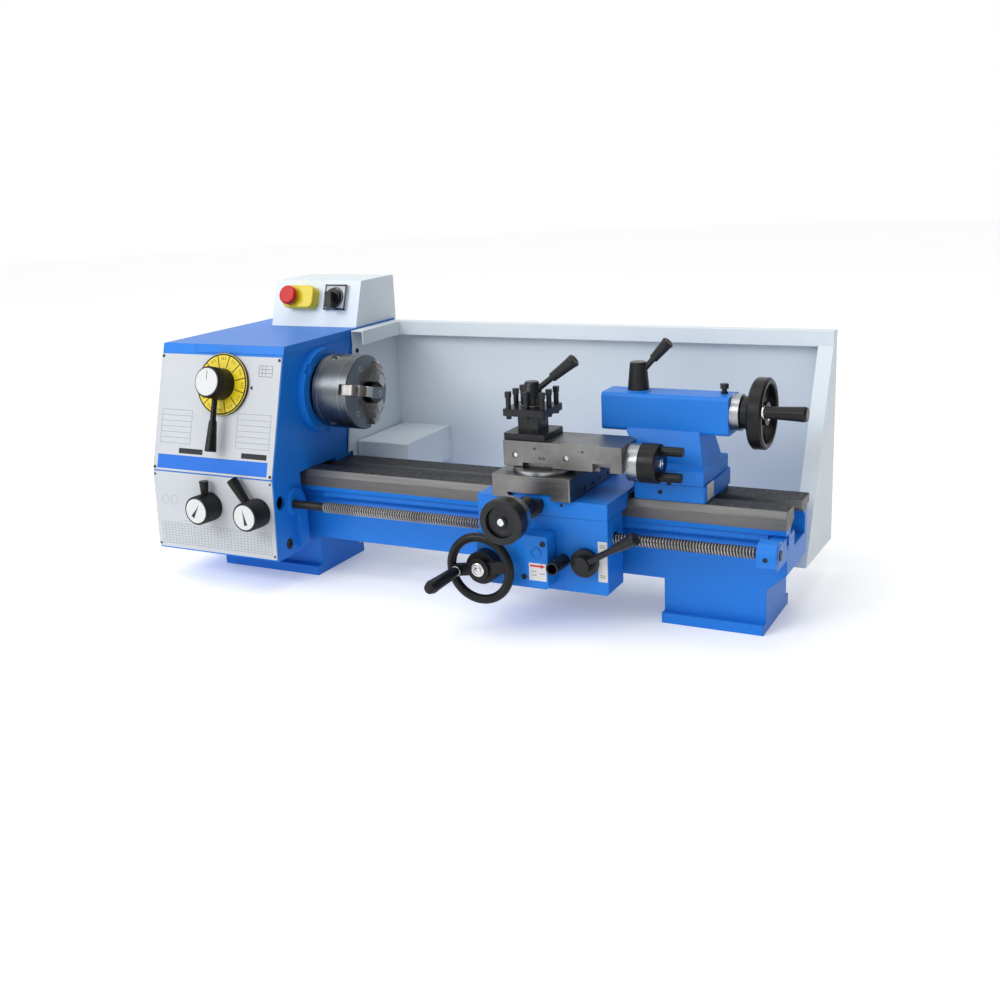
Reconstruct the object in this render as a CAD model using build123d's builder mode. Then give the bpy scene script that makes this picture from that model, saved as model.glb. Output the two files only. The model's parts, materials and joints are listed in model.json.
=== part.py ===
"""Bench metal-turning lathe, 250 mm swing: bed, geared headstock, carriage with cross and top slide,
four-way tool post, tailstock, splash guard and switch box. Millimetres, X along the bed towards the
tailstock, Y to the back, Z up. The origin is the centre of the four bench bolts under the feet."""

import math
import os

from build123d import *

os.makedirs("parts", exist_ok=True)

# ---- driving dimensions -------------------------------------------------------------------------
SWING = 250.0
SPINDLE_Z = 312.0
WAYS_Z = SPINDLE_Z - SWING / 2
REAR_WAY_Z = WAYS_Z - 7.0
CHUCK_D = 125.0
SPINDLE_BORE_R = 13.0
GAP = 0.25  # between parts that slide or turn on each other

FOOT_X = ((-482.0, -281.0), (343.0, 497.0))
FOOT_Y = (-72.0, 72.0)
FOOT_T = 16.0
BOLT_X, BOLT_Y, BOLT_R = 455.0, 30.0, 6.0

BED_X = (-474.0, 526.0)
BED_FACE_Y, BED_BACK_Y = -58.0, 58.0
RACK_Y = -50.0
BED_BOTTOM_Z = 66.0
RAIL_FRONT_Y = (-66.0, -24.0)
RAIL_REAR_Y = (24.0, 70.0)

HEAD_X = (-475.0, -292.0)
COVER_X = (-549.0, -475.2)
HEAD_TOP_Z = 400.5
LID_T = 14.0
TOP_FRONT_Y = -94.0
BEND_Y, BEND_Z = -157.0, 191.0
LOW_Y, LOW_Z = -163.0, 53.0
HEAD_BACK_Y = 250.0
WALL = 8.0

SCREW_Y, SCREW_Z = -117.0, 141.0  # lead screw axis
SCREW_R, JOURNAL_R = 8.0, 7.0
GEAR_M = 2.5
SPINDLE_TEETH, IDLER_TEETH = 24, 60
GEAR_X = (-532.0, -518.0)
PULLEY_X = (-506.0, -486.0)
MOTOR_Y, MOTOR_Z = 170.0, 205.0

CHUCK_FACE_X, CHUCK_BACK_X = -202.0, -270.0
JAW_ANGLES = (166.0, 46.0, -74.0)
KEY_ANGLES = (106.0, -14.0, 226.0)

CARRIAGE_X = (80.0, 289.0)
APRON_Y = (-145.5, -88.0)
APRON_Z = (61.0, 174.0)
COVER_Y = (-178.0, -145.5)
SADDLE_TOP_Z = 199.0
WHEEL_X, WHEEL_Y, WHEEL_Z, WHEEL_R = 108.0, -200.0, 101.0, 55.0
WHEEL_HANDLE_X, WHEEL_HANDLE_Z = 71.0, 95.0
NUT_LEVER = (254.0, 110.0)
FEED_KNOB = (219.0, 109.0)

CROSS_X = (109.5, 235.0)
CROSS_Y = (-154.0, 36.0)
CROSS_Z = (200.0, 234.0)
CROSS_AXIS_X, CROSS_AXIS_Z = 170.5, 192.0
DISC_FACE_Y = -250.0
FEED_R = 4.5  # the screws of the cross slide and the top slide

SWIVEL_X, SWIVEL_Y, SWIVEL_R = 174.0, -106.0, 46.0
TOP_SLIDE_X = (119.0, 306.0)
TOP_SLIDE_Y = (-130.0, -56.0)
TOP_SLIDE_Z = (242.0, 280.0)
TOP_AXIS_Y, TOP_AXIS_Z = -93.0, 251.5
POST_X, POST_Y = 151.0, -91.0
STUD_R = 8.0

TAIL_X = (234.5, 430.0)
TAIL_R = 27.0
TAIL_BASE_X = (296.0, 407.0)
TAIL_BASE_Y = (-60.0, 66.0)
SOLE_TOP_Z = 212.0
QUILL_R = 16.0
QUILL_LEVER_X = 284.0
TAIL_WHEEL_X, TAIL_WHEEL_R = 472.0, 52.0

GUARD_X = (-290.0, 524.0)
GUARD_BACK_Y = 243.0
GUARD_LIP_Y = 220.0
GUARD_TOP_Z = 398.5
GUARD_LIP = 24.0
SHEET = 2.0

BOX_X = (-480.0, -295.0)
BOX_FRONT_Y, BOX_TOP_FRONT_Y, BOX_BACK_Y = 122.0, 150.0, 257.0
BOX_TOP_Z = 480.0

# The sloping upper panel of the headstock and the sloping front of the switch box
PANEL = Plane(
    origin=(0, BEND_Y, BEND_Z),
    x_dir=(1, 0, 0),
    z_dir=(0, -(HEAD_TOP_Z - BEND_Z), TOP_FRONT_Y - BEND_Y),
)
LOW_PANEL = Plane(
    origin=(0, BEND_Y, BEND_Z), x_dir=(1, 0, 0), z_dir=(0, -(BEND_Z - LOW_Z), BEND_Y - LOW_Y)
)
BOX_FRONT = Plane(
    origin=(0, BOX_FRONT_Y, HEAD_TOP_Z),
    x_dir=(1, 0, 0),
    z_dir=(0, -(BOX_TOP_Z - HEAD_TOP_Z), BOX_TOP_FRONT_Y - BOX_FRONT_Y),
)
DIAL = (-408.0, 152.0)  # along and up the sloping panel
SELECTORS = ((-425.0, -54.0), (-325.0, -56.0))


def block(x, y, z, mode=Mode.ADD):
    """A box between two values on each axis."""
    with Locations(((x[0] + x[1]) / 2, (y[0] + y[1]) / 2, (z[0] + z[1]) / 2)):
        Box(x[1] - x[0], y[1] - y[0], z[1] - z[0], mode=mode)


def rod(start, along, radius, length, mode=Mode.ADD):
    """A cylinder that starts at a point and runs along a direction."""
    with Locations(Plane(origin=start, z_dir=along)):
        Cylinder(
            radius, length, align=(Align.CENTER, Align.CENTER, Align.MIN), mode=mode
        )


def taper(start, along, radius, end_radius, length, mode=Mode.ADD):
    """A cone frustum that starts at a point and runs along a direction."""
    with Locations(Plane(origin=start, z_dir=along)):
        Cone(
            radius, end_radius, length, align=(Align.CENTER, Align.CENTER, Align.MIN), mode=mode
        )


def rod_between(start, end, radius, mode=Mode.ADD):
    """A cylinder between two points."""
    run = Vector(*end) - Vector(*start)
    rod(start, tuple(run), radius, run.length, mode)


def slab(points, plane, depth, mode=Mode.ADD):
    """A polygon on a plane, extruded along the plane's normal."""
    with BuildSketch(plane) as outline:
        with BuildLine():
            Polyline(*points, close=True)
        make_face()
    extrude(outline.sketch, amount=depth, mode=mode)


def turn(points, plane, axis, mode=Mode.ADD):
    """A polygon on a plane, turned all the way round an axis."""
    with BuildSketch(plane) as outline:
        with BuildLine():
            Polyline(*points, close=True)
        make_face()
    revolve(outline.sketch, axis=axis, mode=mode)


def limb(plane, spot, angle, reach, radius, end_radius):
    """A lever's arm that lies along a plane, from one distance to another from a spot; angle 0 is down."""
    away = Location((0, 0, 0), (0, 0, angle)) * Location((0, -reach[0], 0), (90, 0, 0))
    with Locations(plane * Location((spot[0], spot[1], 0)) * away):
        Cone(radius, end_radius, reach[1] - reach[0], align=(Align.CENTER, Align.CENTER, Align.MIN))


def write(name, part):
    part.label = name
    export_step(part, f"parts/{name}.step")


def tooth_ring(teeth, module, first_angle, backlash=0.4):
    """Points round a spur gear with straight-sided teeth close to the involute; one tooth is centred on first_angle."""
    pitch_r = teeth * module / 2
    half = (math.pi * module / 2 - backlash) / (2 * pitch_r)
    rows = ((-1.2, 1.45), (0.0, 1.0), (0.8, 0.48))
    points = []
    for k in range(teeth):
        middle = math.radians(first_angle) + 2 * math.pi * k / teeth
        side = [(pitch_r + rise * module, half * width) for rise, width in rows]
        points += [(r * math.cos(middle - a), r * math.sin(middle - a)) for r, a in side]
        points += [(r * math.cos(middle + a), r * math.sin(middle + a)) for r, a in reversed(side)]
    return points


def gear(centre, x, teeth, module, first_angle, mode=Mode.ADD):
    """A spur gear whose axis runs along X."""
    plane = Plane(origin=(x[0], *centre), x_dir=(0, 1, 0), z_dir=(1, 0, 0))
    slab(tooth_ring(teeth, module, first_angle), plane, x[1] - x[0], mode)


# ---- bed, legs and feet -------------------------------------------------------------------------
front_wall = (
    (RAIL_FRONT_Y[0] + 6, WAYS_Z),
    (RAIL_FRONT_Y[0], WAYS_Z - 10),
    (RAIL_FRONT_Y[0], 152),
    (RACK_Y, 152),
    (RACK_Y, 137),
    (BED_FACE_Y, 126),
    (BED_FACE_Y, BED_BOTTOM_Z),
    (BED_FACE_Y + 14, BED_BOTTOM_Z),
    (BED_FACE_Y + 14, 140),
    (-44, 155),
    (RAIL_FRONT_Y[1], 168),
    (RAIL_FRONT_Y[1], WAYS_Z),
)
rear_wall = (
    (RAIL_REAR_Y[0], REAR_WAY_Z),
    (RAIL_REAR_Y[0], 168),
    (44, 155),
    (44, BED_BOTTOM_Z),
    (BED_BACK_Y, BED_BOTTOM_Z),
    (BED_BACK_Y, 166),
    (RAIL_REAR_Y[1], 166),
    (RAIL_REAR_Y[1], REAR_WAY_Z),
)
with BuildPart() as bed:
    slab(front_wall, Plane.YZ.offset(BED_X[0]), BED_X[1] - BED_X[0])
    slab(rear_wall, Plane.YZ.offset(BED_X[0]), BED_X[1] - BED_X[0])
    for x in (-468, -360, -250, -140, -30, 80, 190, 300, 410):
        block((x, x + 12), (RACK_Y + 4, 50), (BED_BOTTOM_Z, 149))
    block((BED_X[1] - 14, BED_X[1]), (RACK_Y + 2, BED_BACK_Y), (BED_BOTTOM_Z, 149))
    block((BED_X[1] - 15, BED_X[1] + 1), (-18, 46), (125, 150), Mode.SUBTRACT)
    for x0, x1 in FOOT_X:
        top = BED_BOTTOM_Z if x0 > 0 else LOW_Z - 1
        block((x0, x1), FOOT_Y, (0, FOOT_T))
        block((x0, x1), (BED_FACE_Y, BED_BACK_Y), (FOOT_T, top))
        block((x0 + 12, x1 - 12), (BED_FACE_Y + 14, BED_BACK_Y - 14), (FOOT_T, top + 1), Mode.SUBTRACT)
        block((x0 + 34, x1 - 34), (40, 80), (FOOT_T + 8, top - 12), Mode.SUBTRACT)
    # the left foot is carried up between the gear cover and the bed
    left_foot = (BED_X[0] + 6, FOOT_X[0][1])
    for y in (BED_FACE_Y, BED_BACK_Y - 14):
        block(left_foot, (y, y + 14), (FOOT_T, 80))
    for x in (left_foot[0], left_foot[1] - 12):
        block((x, x + 12), (BED_FACE_Y, BED_BACK_Y), (FOOT_T, 80))
    # the underside rises past the right foot
    corner = ((FOOT_X[1][1], BED_BOTTOM_Z), (BED_X[1] + 1, 92), (BED_X[1] + 1, BED_BOTTOM_Z - 1),
              (FOOT_X[1][1], BED_BOTTOM_Z - 1))
    slab(corner, Plane.XZ.offset(-100), 200, Mode.SUBTRACT)
    for x in (-BOLT_X, BOLT_X):
        for y in (-BOLT_Y, BOLT_Y):
            rod((x, y, -1), (0, 0, 1), BOLT_R, FOOT_T + 2, Mode.SUBTRACT)
            rod((x, y, FOOT_T), (0, 0, 1), BOLT_R + 7, LOW_Z - FOOT_T - 2, Mode.SUBTRACT)
write("bed", bed.part)

with BuildPart() as rack:
    pitch = math.pi * 1.5
    right = BED_X[1] - 26
    teeth = [(right, 151.9)]
    for k in range(162):
        x = right - k * pitch
        teeth += [(x - 0.6, 143), (x - 1.7, 140), (x - 3.0, 140), (x - 4.1, 143)]
    teeth.append((right - 162 * pitch, 151.9))
    slab(teeth, Plane.XZ.offset(-RACK_Y + 12), -11.9)
write("rack", rack.part)

# ---- headstock ----------------------------------------------------------------------------------
head_outline = (
    (TOP_FRONT_Y, HEAD_TOP_Z),
    (BEND_Y, BEND_Z),
    (LOW_Y, LOW_Z),
    (-84, LOW_Z),
    (-84, WAYS_Z),
    (RAIL_REAR_Y[0], WAYS_Z),
    (RAIL_REAR_Y[0], REAR_WAY_Z),
    (82, REAR_WAY_Z),
    (82, 120),
    (HEAD_BACK_Y, 120),
    (HEAD_BACK_Y, HEAD_TOP_Z),
)
cover_outline = (
    (TOP_FRONT_Y, HEAD_TOP_Z),
    (BEND_Y, BEND_Z),
    (LOW_Y, LOW_Z),
    (82, LOW_Z),
    (HEAD_BACK_Y, 120),
    (HEAD_BACK_Y, HEAD_TOP_Z),
)


def hollow(points, inset, start_x, length):
    """Cuts a room that follows an outline at a distance inside it."""
    with BuildSketch(Plane.YZ.offset(start_x)) as room:
        with BuildLine():
            Polyline(*points, close=True)
        make_face()
        offset(amount=-inset, kind=Kind.INTERSECTION, mode=Mode.REPLACE)
    extrude(room.sketch, amount=length, mode=Mode.SUBTRACT)


# The idler gear stands between the spindle's gear and the lead screw's, the same distance from both
train = math.hypot(SCREW_Y, SPINDLE_Z - SCREW_Z)
reach = GEAR_M * (SPINDLE_TEETH + IDLER_TEETH) / 2
aside = math.sqrt(reach**2 - (train / 2) ** 2)
IDLER = (
    SCREW_Y / 2 + aside * (SPINDLE_Z - SCREW_Z) / train,
    (SPINDLE_Z + SCREW_Z) / 2 + aside * SCREW_Y / train,
)

with BuildPart() as headstock_casting:
    slab(head_outline, Plane.YZ.offset(HEAD_X[0]), HEAD_X[1] - HEAD_X[0])
    hollow(head_outline, WALL, HEAD_X[0] + WALL, HEAD_X[1] - HEAD_X[0] - 2 * WALL)
    block((HEAD_X[0] - 1, HEAD_X[1] + 1), (-200, HEAD_BACK_Y + 1),
          (HEAD_TOP_Z - LID_T, HEAD_TOP_Z + 1), Mode.SUBTRACT)
    # bearing housings, one at each end wall
    rod((HEAD_X[0], 0, SPINDLE_Z), (1, 0, 0), 62, 30)
    rod((HEAD_X[1] - 34, 0, SPINDLE_Z), (1, 0, 0), 62, 34)
    for x in (HEAD_X[0], HEAD_X[1] - 34):
        rod((x - 1, 0, SPINDLE_Z), (1, 0, 0), 50, 36, Mode.SUBTRACT)
    # the lead screw's boss on the bed side
    rod((HEAD_X[1], SCREW_Y + 9, SCREW_Z + 2), (1, 0, 0), 22, 8)
    block((HEAD_X[1], HEAD_X[1] + 10), (-108, -86), (64, SCREW_Z))
    rod((HEAD_X[0] - 1, SCREW_Y, SCREW_Z), (1, 0, 0), JOURNAL_R + GAP, 260, Mode.SUBTRACT)
    # the idler gear's stud
    rod((HEAD_X[0] + 1, *IDLER), (-1, 0, 0), 16, 39)
    rod((HEAD_X[0], *IDLER), (-1, 0, 0), 9, 62)
    # motor shaft, oil sight and plug
    rod((HEAD_X[0] - 1, MOTOR_Y, MOTOR_Z), (1, 0, 0), 18, 12, Mode.SUBTRACT)
    rod((HEAD_X[1] - WALL - 1, -142, 149), (1, 0, 0), 12, WALL + 2, Mode.SUBTRACT)
    rod((HEAD_X[1] - 2, -129, 74.5), (1, 0, 0), 9, 3, Mode.SUBTRACT)
write("headstock_casting", headstock_casting.part)

with BuildPart() as headstock_lid:
    run = (TOP_FRONT_Y - BEND_Y) / (HEAD_TOP_Z - BEND_Z)
    seam_y = TOP_FRONT_Y - LID_T * run
    profile = (
        (TOP_FRONT_Y, HEAD_TOP_Z),
        (seam_y, HEAD_TOP_Z - LID_T + 0.2),
        (HEAD_BACK_Y, HEAD_TOP_Z - LID_T + 0.2),
        (HEAD_BACK_Y, HEAD_TOP_Z),
    )
    slab(profile, Plane.YZ.offset(HEAD_X[0]), HEAD_X[1] - HEAD_X[0])
    block((HEAD_X[0] + 10, HEAD_X[1] - 10), (seam_y + 14, HEAD_BACK_Y - 10),
          (HEAD_TOP_Z - LID_T - 1, HEAD_TOP_Z - 5), Mode.SUBTRACT)
write("headstock_lid", headstock_lid.part)

with BuildPart() as gear_cover:
    slab(cover_outline, Plane.YZ.offset(COVER_X[0]), COVER_X[1] - COVER_X[0])
    fillet(gear_cover.faces().sort_by(Axis.X)[0].edges(), 4.0)
    hollow(cover_outline, 6.0, COVER_X[0] + 5, COVER_X[1] - COVER_X[0])
    rod((COVER_X[0] - 1, 0, SPINDLE_Z), (1, 0, 0), 16, 10, Mode.SUBTRACT)
write("gear_cover", gear_cover.part)

with BuildPart() as control_plate_upper:
    with BuildSketch(PANEL):
        with Locations(((-549 - 292) / 2, 100.5)):
            RectangleRounded(253, 200, 3)
    extrude(amount=1.5)
write("control_plate_upper", control_plate_upper.part)

with BuildPart() as control_plate_lower:
    with BuildSketch(LOW_PANEL):
        with Locations(((-549 - 292) / 2, -68.5)):
            RectangleRounded(253, 134, 3)
    extrude(amount=1.5)
write("control_plate_lower", control_plate_lower.part)

with BuildPart() as spindle_ring:
    rod((HEAD_X[1], 0, SPINDLE_Z), (1, 0, 0), 72, 14)
    rod((HEAD_X[1] - 1, 0, SPINDLE_Z), (1, 0, 0), 56, 20, Mode.SUBTRACT)
    for angle in (20, 140, 260):
        spot = (HEAD_X[1] + 10, 72 * math.cos(math.radians(angle)),
                SPINDLE_Z + 72 * math.sin(math.radians(angle)))
        rod(spot, (1, 0, 0), 9, 6, Mode.SUBTRACT)
write("spindle_ring", spindle_ring.part)

with BuildPart() as spindle_bearings:
    for x in (HEAD_X[0] + 4, HEAD_X[1] - 30):
        rod((x, 0, SPINDLE_Z), (1, 0, 0), 50, 24)
        rod((x - 1, 0, SPINDLE_Z), (1, 0, 0), 30.06, 26, Mode.SUBTRACT)
write("spindle_bearings", spindle_bearings.part)

# ---- spindle, chuck and drive -------------------------------------------------------------------
to_idler = math.degrees(math.atan2(IDLER[1] - SPINDLE_Z, IDLER[0]))
with BuildPart() as spindle_shaft:
    rod((HEAD_X[0] - 60, 0, SPINDLE_Z), (1, 0, 0), 20, 62)
    rod((HEAD_X[0] + 2, 0, SPINDLE_Z), (1, 0, 0), 30, 194)
    rod((HEAD_X[1] + 3, 0, SPINDLE_Z), (1, 0, 0), 50, CHUCK_BACK_X - HEAD_X[1] - 3)
    gear((0, SPINDLE_Z), GEAR_X, SPINDLE_TEETH, GEAR_M, to_idler)
    rod((HEAD_X[0] - 70, 0, SPINDLE_Z), (1, 0, 0), SPINDLE_BORE_R, 290, Mode.SUBTRACT)
write("spindle_shaft", spindle_shaft.part)


def pulley(centre, x, radius, bore):
    """A V pulley on an axis along X."""
    width = x[1] - x[0]
    points = (
        (0, bore), (0, radius), (3, radius), (6, radius - 6), (width - 6, radius - 6),
        (width - 3, radius), (width, radius), (width, bore),
    )
    plane = Plane(origin=(x[0], *centre), x_dir=(1, 0, 0), z_dir=(0, -1, 0))
    turn(points, plane, Axis((x[0], *centre), (1, 0, 0)))


with BuildPart() as spindle_pulley:
    pulley((0, SPINDLE_Z), PULLEY_X, 46, 20.02)
write("spindle_pulley", spindle_pulley.part)

with BuildPart() as motor_rotor:
    rod((PULLEY_X[0] - 3, MOTOR_Y, MOTOR_Z), (1, 0, 0), 9, 130)
    pulley((MOTOR_Y, MOTOR_Z), PULLEY_X, 26, 8)
write("motor_rotor", motor_rotor.part)

with BuildPart() as motor_body:
    rod((HEAD_X[0] + 20, MOTOR_Y, MOTOR_Z), (1, 0, 0), 58, 140)
    for k in range(14):
        angle = 2 * math.pi * k / 14
        with Locations(
            Location(
                (HEAD_X[0] + 92, MOTOR_Y + 58 * math.cos(angle), MOTOR_Z + 58 * math.sin(angle)),
                (math.degrees(angle), 0, 0),
            )
        ):
            Box(100, 14, 3)
    block((HEAD_X[0] + 40, HEAD_X[0] + 140), (MOTOR_Y - 50, MOTOR_Y + 50), (128, 152))
    rod((HEAD_X[0] + 19, MOTOR_Y, MOTOR_Z), (1, 0, 0), 9 + GAP, 110, Mode.SUBTRACT)
write("motor_body", motor_body.part)

with BuildPart() as drive_belt:
    belt_x = (PULLEY_X[0] + 6.5, PULLEY_X[1] - 6.5)
    belt_plane = Plane(origin=(belt_x[0], 0, SPINDLE_Z), x_dir=(0, 1, 0), z_dir=(1, 0, 0))
    apart = math.hypot(MOTOR_Y, SPINDLE_Z - MOTOR_Z)
    lean = math.degrees(math.atan2(MOTOR_Z - SPINDLE_Z, MOTOR_Y))
    for grow, mode in ((6.0, Mode.ADD), (0.4, Mode.SUBTRACT)):
        big, small = 40 + grow, 20 + grow
        tilt = math.degrees(math.acos((big - small) / apart))
        corners = []
        for centre, radius in ((0.0, big), (apart, small)):
            for side in (1, -1):
                a = math.radians(lean + side * tilt)
                middle = (centre * math.cos(math.radians(lean)), centre * math.sin(math.radians(lean)))
                corners.append((middle[0] + radius * math.cos(a), middle[1] + radius * math.sin(a)))
        with BuildSketch(belt_plane):
            Circle(big)
            with Locations((MOTOR_Y, MOTOR_Z - SPINDLE_Z)):
                Circle(small)
            with BuildLine():
                Polyline(corners[0], corners[2], corners[3], corners[1], close=True)
            make_face()
        extrude(amount=belt_x[1] - belt_x[0], mode=mode)
write("drive_belt", drive_belt.part)

with BuildPart() as idler_gear:
    gear(IDLER, GEAR_X, IDLER_TEETH, GEAR_M, to_idler + 180 + 180 / IDLER_TEETH)
    rod((GEAR_X[0] - 1, *IDLER), (1, 0, 0), 9.05, 30, Mode.SUBTRACT)
    for k in range(5):
        angle = 2 * math.pi * k / 5
        spot = (GEAR_X[0] - 1, IDLER[0] + 42 * math.cos(angle), IDLER[1] + 42 * math.sin(angle))
        rod(spot, (1, 0, 0), 15, 20, Mode.SUBTRACT)
write("idler_gear", idler_gear.part)

to_screw = math.degrees(math.atan2(SCREW_Z - IDLER[1], SCREW_Y - IDLER[0]))
pitch_angle = 360 / IDLER_TEETH
ahead = (to_idler + 180 + pitch_angle / 2 - to_screw) % pitch_angle
screw_phase = to_screw + 180 - ahead * IDLER_TEETH / SPINDLE_TEETH + 180 / SPINDLE_TEETH
with BuildPart() as leadscrew:
    rod((GEAR_X[0] - 6, SCREW_Y, SCREW_Z), (1, 0, 0), JOURNAL_R, 320)
    rod((-222, SCREW_Y, SCREW_Z), (1, 0, 0), SCREW_R, 722)
    rod((500, SCREW_Y, SCREW_Z), (1, 0, 0), JOURNAL_R, 32)
    gear((SCREW_Y, SCREW_Z), GEAR_X, SPINDLE_TEETH, GEAR_M, screw_phase)
write("leadscrew", leadscrew.part)

with BuildPart() as leadscrew_bracket:
    rod((502, SCREW_Y, SCREW_Z), (1, 0, 0), 20.5, 28)
    block((504, 526), (SCREW_Y, BED_FACE_Y), (SCREW_Z - 26, SCREW_Z - 4))
    block((504, 526), (SCREW_Y, BED_FACE_Y - 5), (SCREW_Z - 15, SCREW_Z + 8))
    rod((480, SCREW_Y, SCREW_Z), (1, 0, 0), JOURNAL_R + GAP, 60, Mode.SUBTRACT)
write("leadscrew_bracket", leadscrew_bracket.part)


def radial(angle, radius, x):
    """A point at a radius and an angle round the spindle axis; the angle runs from +Y towards +Z."""
    a = math.radians(angle)
    return (x, radius * math.cos(a), SPINDLE_Z + radius * math.sin(a))


def radial_box(angle, radii, x, width, mode=Mode.ADD):
    """A box whose length runs outwards from the spindle axis."""
    centre = radial(angle, (radii[0] + radii[1]) / 2, (x[0] + x[1]) / 2)
    with Locations(Location(centre, (angle, 0, 0))):
        Box(x[1] - x[0], radii[1] - radii[0], width, mode=mode)


JAW_W, SLOT_FLOOR_X = 17.0, -216.0
SCROLL_X = (-232.0, -222.0)
with BuildPart() as chuck_body:
    rod((CHUCK_BACK_X, 0, SPINDLE_Z), (1, 0, 0), CHUCK_D / 2, CHUCK_FACE_X - CHUCK_BACK_X)
    fillet(chuck_body.edges().filter_by(GeomType.CIRCLE), 2.0)
    rod((CHUCK_BACK_X - 1, 0, SPINDLE_Z), (1, 0, 0), 16, 80, Mode.SUBTRACT)
    rod((SCROLL_X[0] - 0.5, 0, SPINDLE_Z), (1, 0, 0), 52, SCROLL_X[1] - SCROLL_X[0] + 1, Mode.SUBTRACT)
    for angle in JAW_ANGLES:
        radial_box(angle, (0, 70), (SLOT_FLOOR_X, CHUCK_FACE_X + 1), JAW_W + 0.6, Mode.SUBTRACT)
    for angle in KEY_ANGLES:
        rod(radial(angle, 70, -246), tuple(Vector(*radial(angle, 0, 0)) - Vector(*radial(angle, 1, 0))),
            8, 34, Mode.SUBTRACT)
write("chuck_body", chuck_body.part)

with BuildPart() as chuck_scroll:
    rod((SCROLL_X[0], 0, SPINDLE_Z), (1, 0, 0), 51.5, SCROLL_X[1] - SCROLL_X[0])
    rod((SCROLL_X[0] - 1, 0, SPINDLE_Z), (1, 0, 0), 24, 20, Mode.SUBTRACT)
write("chuck_scroll", chuck_scroll.part)

with BuildPart() as chuck_pinions:
    for angle in KEY_ANGLES:
        inwards = tuple(Vector(*radial(angle, 0, 0)) - Vector(*radial(angle, 1, 0)))
        rod(radial(angle, 61, -246), inwards, 7.9, 22)
        with Locations(Location(radial(angle, 58, -246), (angle, 0, 0))):
            Box(7, 10, 7, mode=Mode.SUBTRACT)
write("chuck_pinions", chuck_pinions.part)

for number, angle in enumerate(JAW_ANGLES, 1):
    with BuildPart() as chuck_jaw:
        radial_box(angle, (16, 57), (SLOT_FLOOR_X + 0.3, CHUCK_FACE_X + 8), JAW_W)
        radial_box(angle, (16, 44), (CHUCK_FACE_X + 7, CHUCK_FACE_X + 15), JAW_W)
        radial_box(angle, (16, 31), (CHUCK_FACE_X + 14, CHUCK_FACE_X + 23), JAW_W)
    write(f"chuck_jaw_{number}", chuck_jaw.part)

# ---- headstock controls -------------------------------------------------------------------------
dial_plane = PANEL.offset(1.7)
with BuildPart() as speed_disc:
    with BuildSketch(dial_plane):
        with Locations(DIAL):
            Circle(52)
    extrude(amount=6)
    fillet(speed_disc.edges().filter_by(GeomType.CIRCLE).sort_by(Axis.Y)[:1], 1.5)
write("speed_disc", speed_disc.part)

with BuildPart() as speed_lever:
    with BuildSketch(PANEL.offset(7.7)):
        with Locations(DIAL):
            Circle(27)
    extrude(amount=38, taper=3)
    fillet(speed_lever.faces().sort_by(Axis.Y)[0].edges(), 2.0)
    limb(PANEL.offset(22), DIAL, 0, (20, 64), 4.5, 5)
    limb(PANEL.offset(22), DIAL, 0, (62, 114), 6.5, 10)
    fillet(speed_lever.edges().filter_by(GeomType.CIRCLE).sort_by(Axis.Z)[:1], 2.5)
write("speed_lever", speed_lever.part)

for name, spot, angle, reach, radii in (
    ("left_selector", SELECTORS[0], 180, 46, (6, 8)),
    ("right_selector", SELECTORS[1], 216, 68, (7, 9.5)),
):
    with BuildPart() as selector:
        with BuildSketch(LOW_PANEL.offset(1.7)):
            with Locations(spot):
                Circle(24)
        extrude(amount=38.3)
        fillet(selector.faces().sort_by(Axis.Y)[0].edges(), 2.0)
        limb(LOW_PANEL.offset(15), spot, angle, (18, reach), *radii)
    write(name, selector.part)

# ---- switch box ---------------------------------------------------------------------------------
with BuildPart() as electrical_box:
    outline = (
        (BOX_FRONT_Y, HEAD_TOP_Z),
        (BOX_TOP_FRONT_Y, BOX_TOP_Z),
        (BOX_BACK_Y, BOX_TOP_Z),
        (BOX_BACK_Y, HEAD_TOP_Z),
    )
    slab(outline, Plane.YZ.offset(BOX_X[0]), BOX_X[1] - BOX_X[0])
    fillet(electrical_box.edges().filter_by(Axis.X).sort_by(Axis.Z)[-2:], 3.0)
    inside = (
        (BOX_FRONT_Y + 3, HEAD_TOP_Z + 2),
        (BOX_TOP_FRONT_Y + 2, BOX_TOP_Z - 2),
        (BOX_BACK_Y - 2, BOX_TOP_Z - 2),
        (BOX_BACK_Y - 2, HEAD_TOP_Z + 2),
    )
    slab(inside, Plane.YZ.offset(BOX_X[0] + 2), BOX_X[1] - BOX_X[0] - 4, Mode.SUBTRACT)
write("electrical_box", electrical_box.part)

STOP_X, STOP_UP = -429.0, 51.0
SWITCH_X, SWITCH_UP = -343.0, 53.0
with BuildPart() as stop_base:
    with BuildSketch(BOX_FRONT):
        with Locations((STOP_X + 14, STOP_UP)):
            RectangleRounded(66, 41, 12)
    extrude(amount=20)
    fillet(stop_base.faces().sort_by(Axis.Y)[0].edges(), 2.5)
    with BuildSketch(BOX_FRONT.offset(8)):
        with Locations((STOP_X, STOP_UP)):
            Circle(8)
    extrude(amount=20, mode=Mode.SUBTRACT)
write("stop_base", stop_base.part)

with BuildPart() as stop_button:
    with BuildSketch(BOX_FRONT.offset(13)):
        with Locations((STOP_X, STOP_UP)):
            Circle(7.6)
    extrude(amount=15)
    with BuildSketch(BOX_FRONT.offset(27)):
        with Locations((STOP_X, STOP_UP)):
            Circle(17)
    extrude(amount=8)
    fillet(stop_button.faces().sort_by(Axis.Y)[0].edges(), 3.5)
write("stop_button", stop_button.part)

with BuildPart() as switch_plate:
    with BuildSketch(BOX_FRONT):
        with Locations((SWITCH_X, SWITCH_UP)):
            RectangleRounded(46, 46, 2)
    extrude(amount=6)
write("switch_plate", switch_plate.part)

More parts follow.
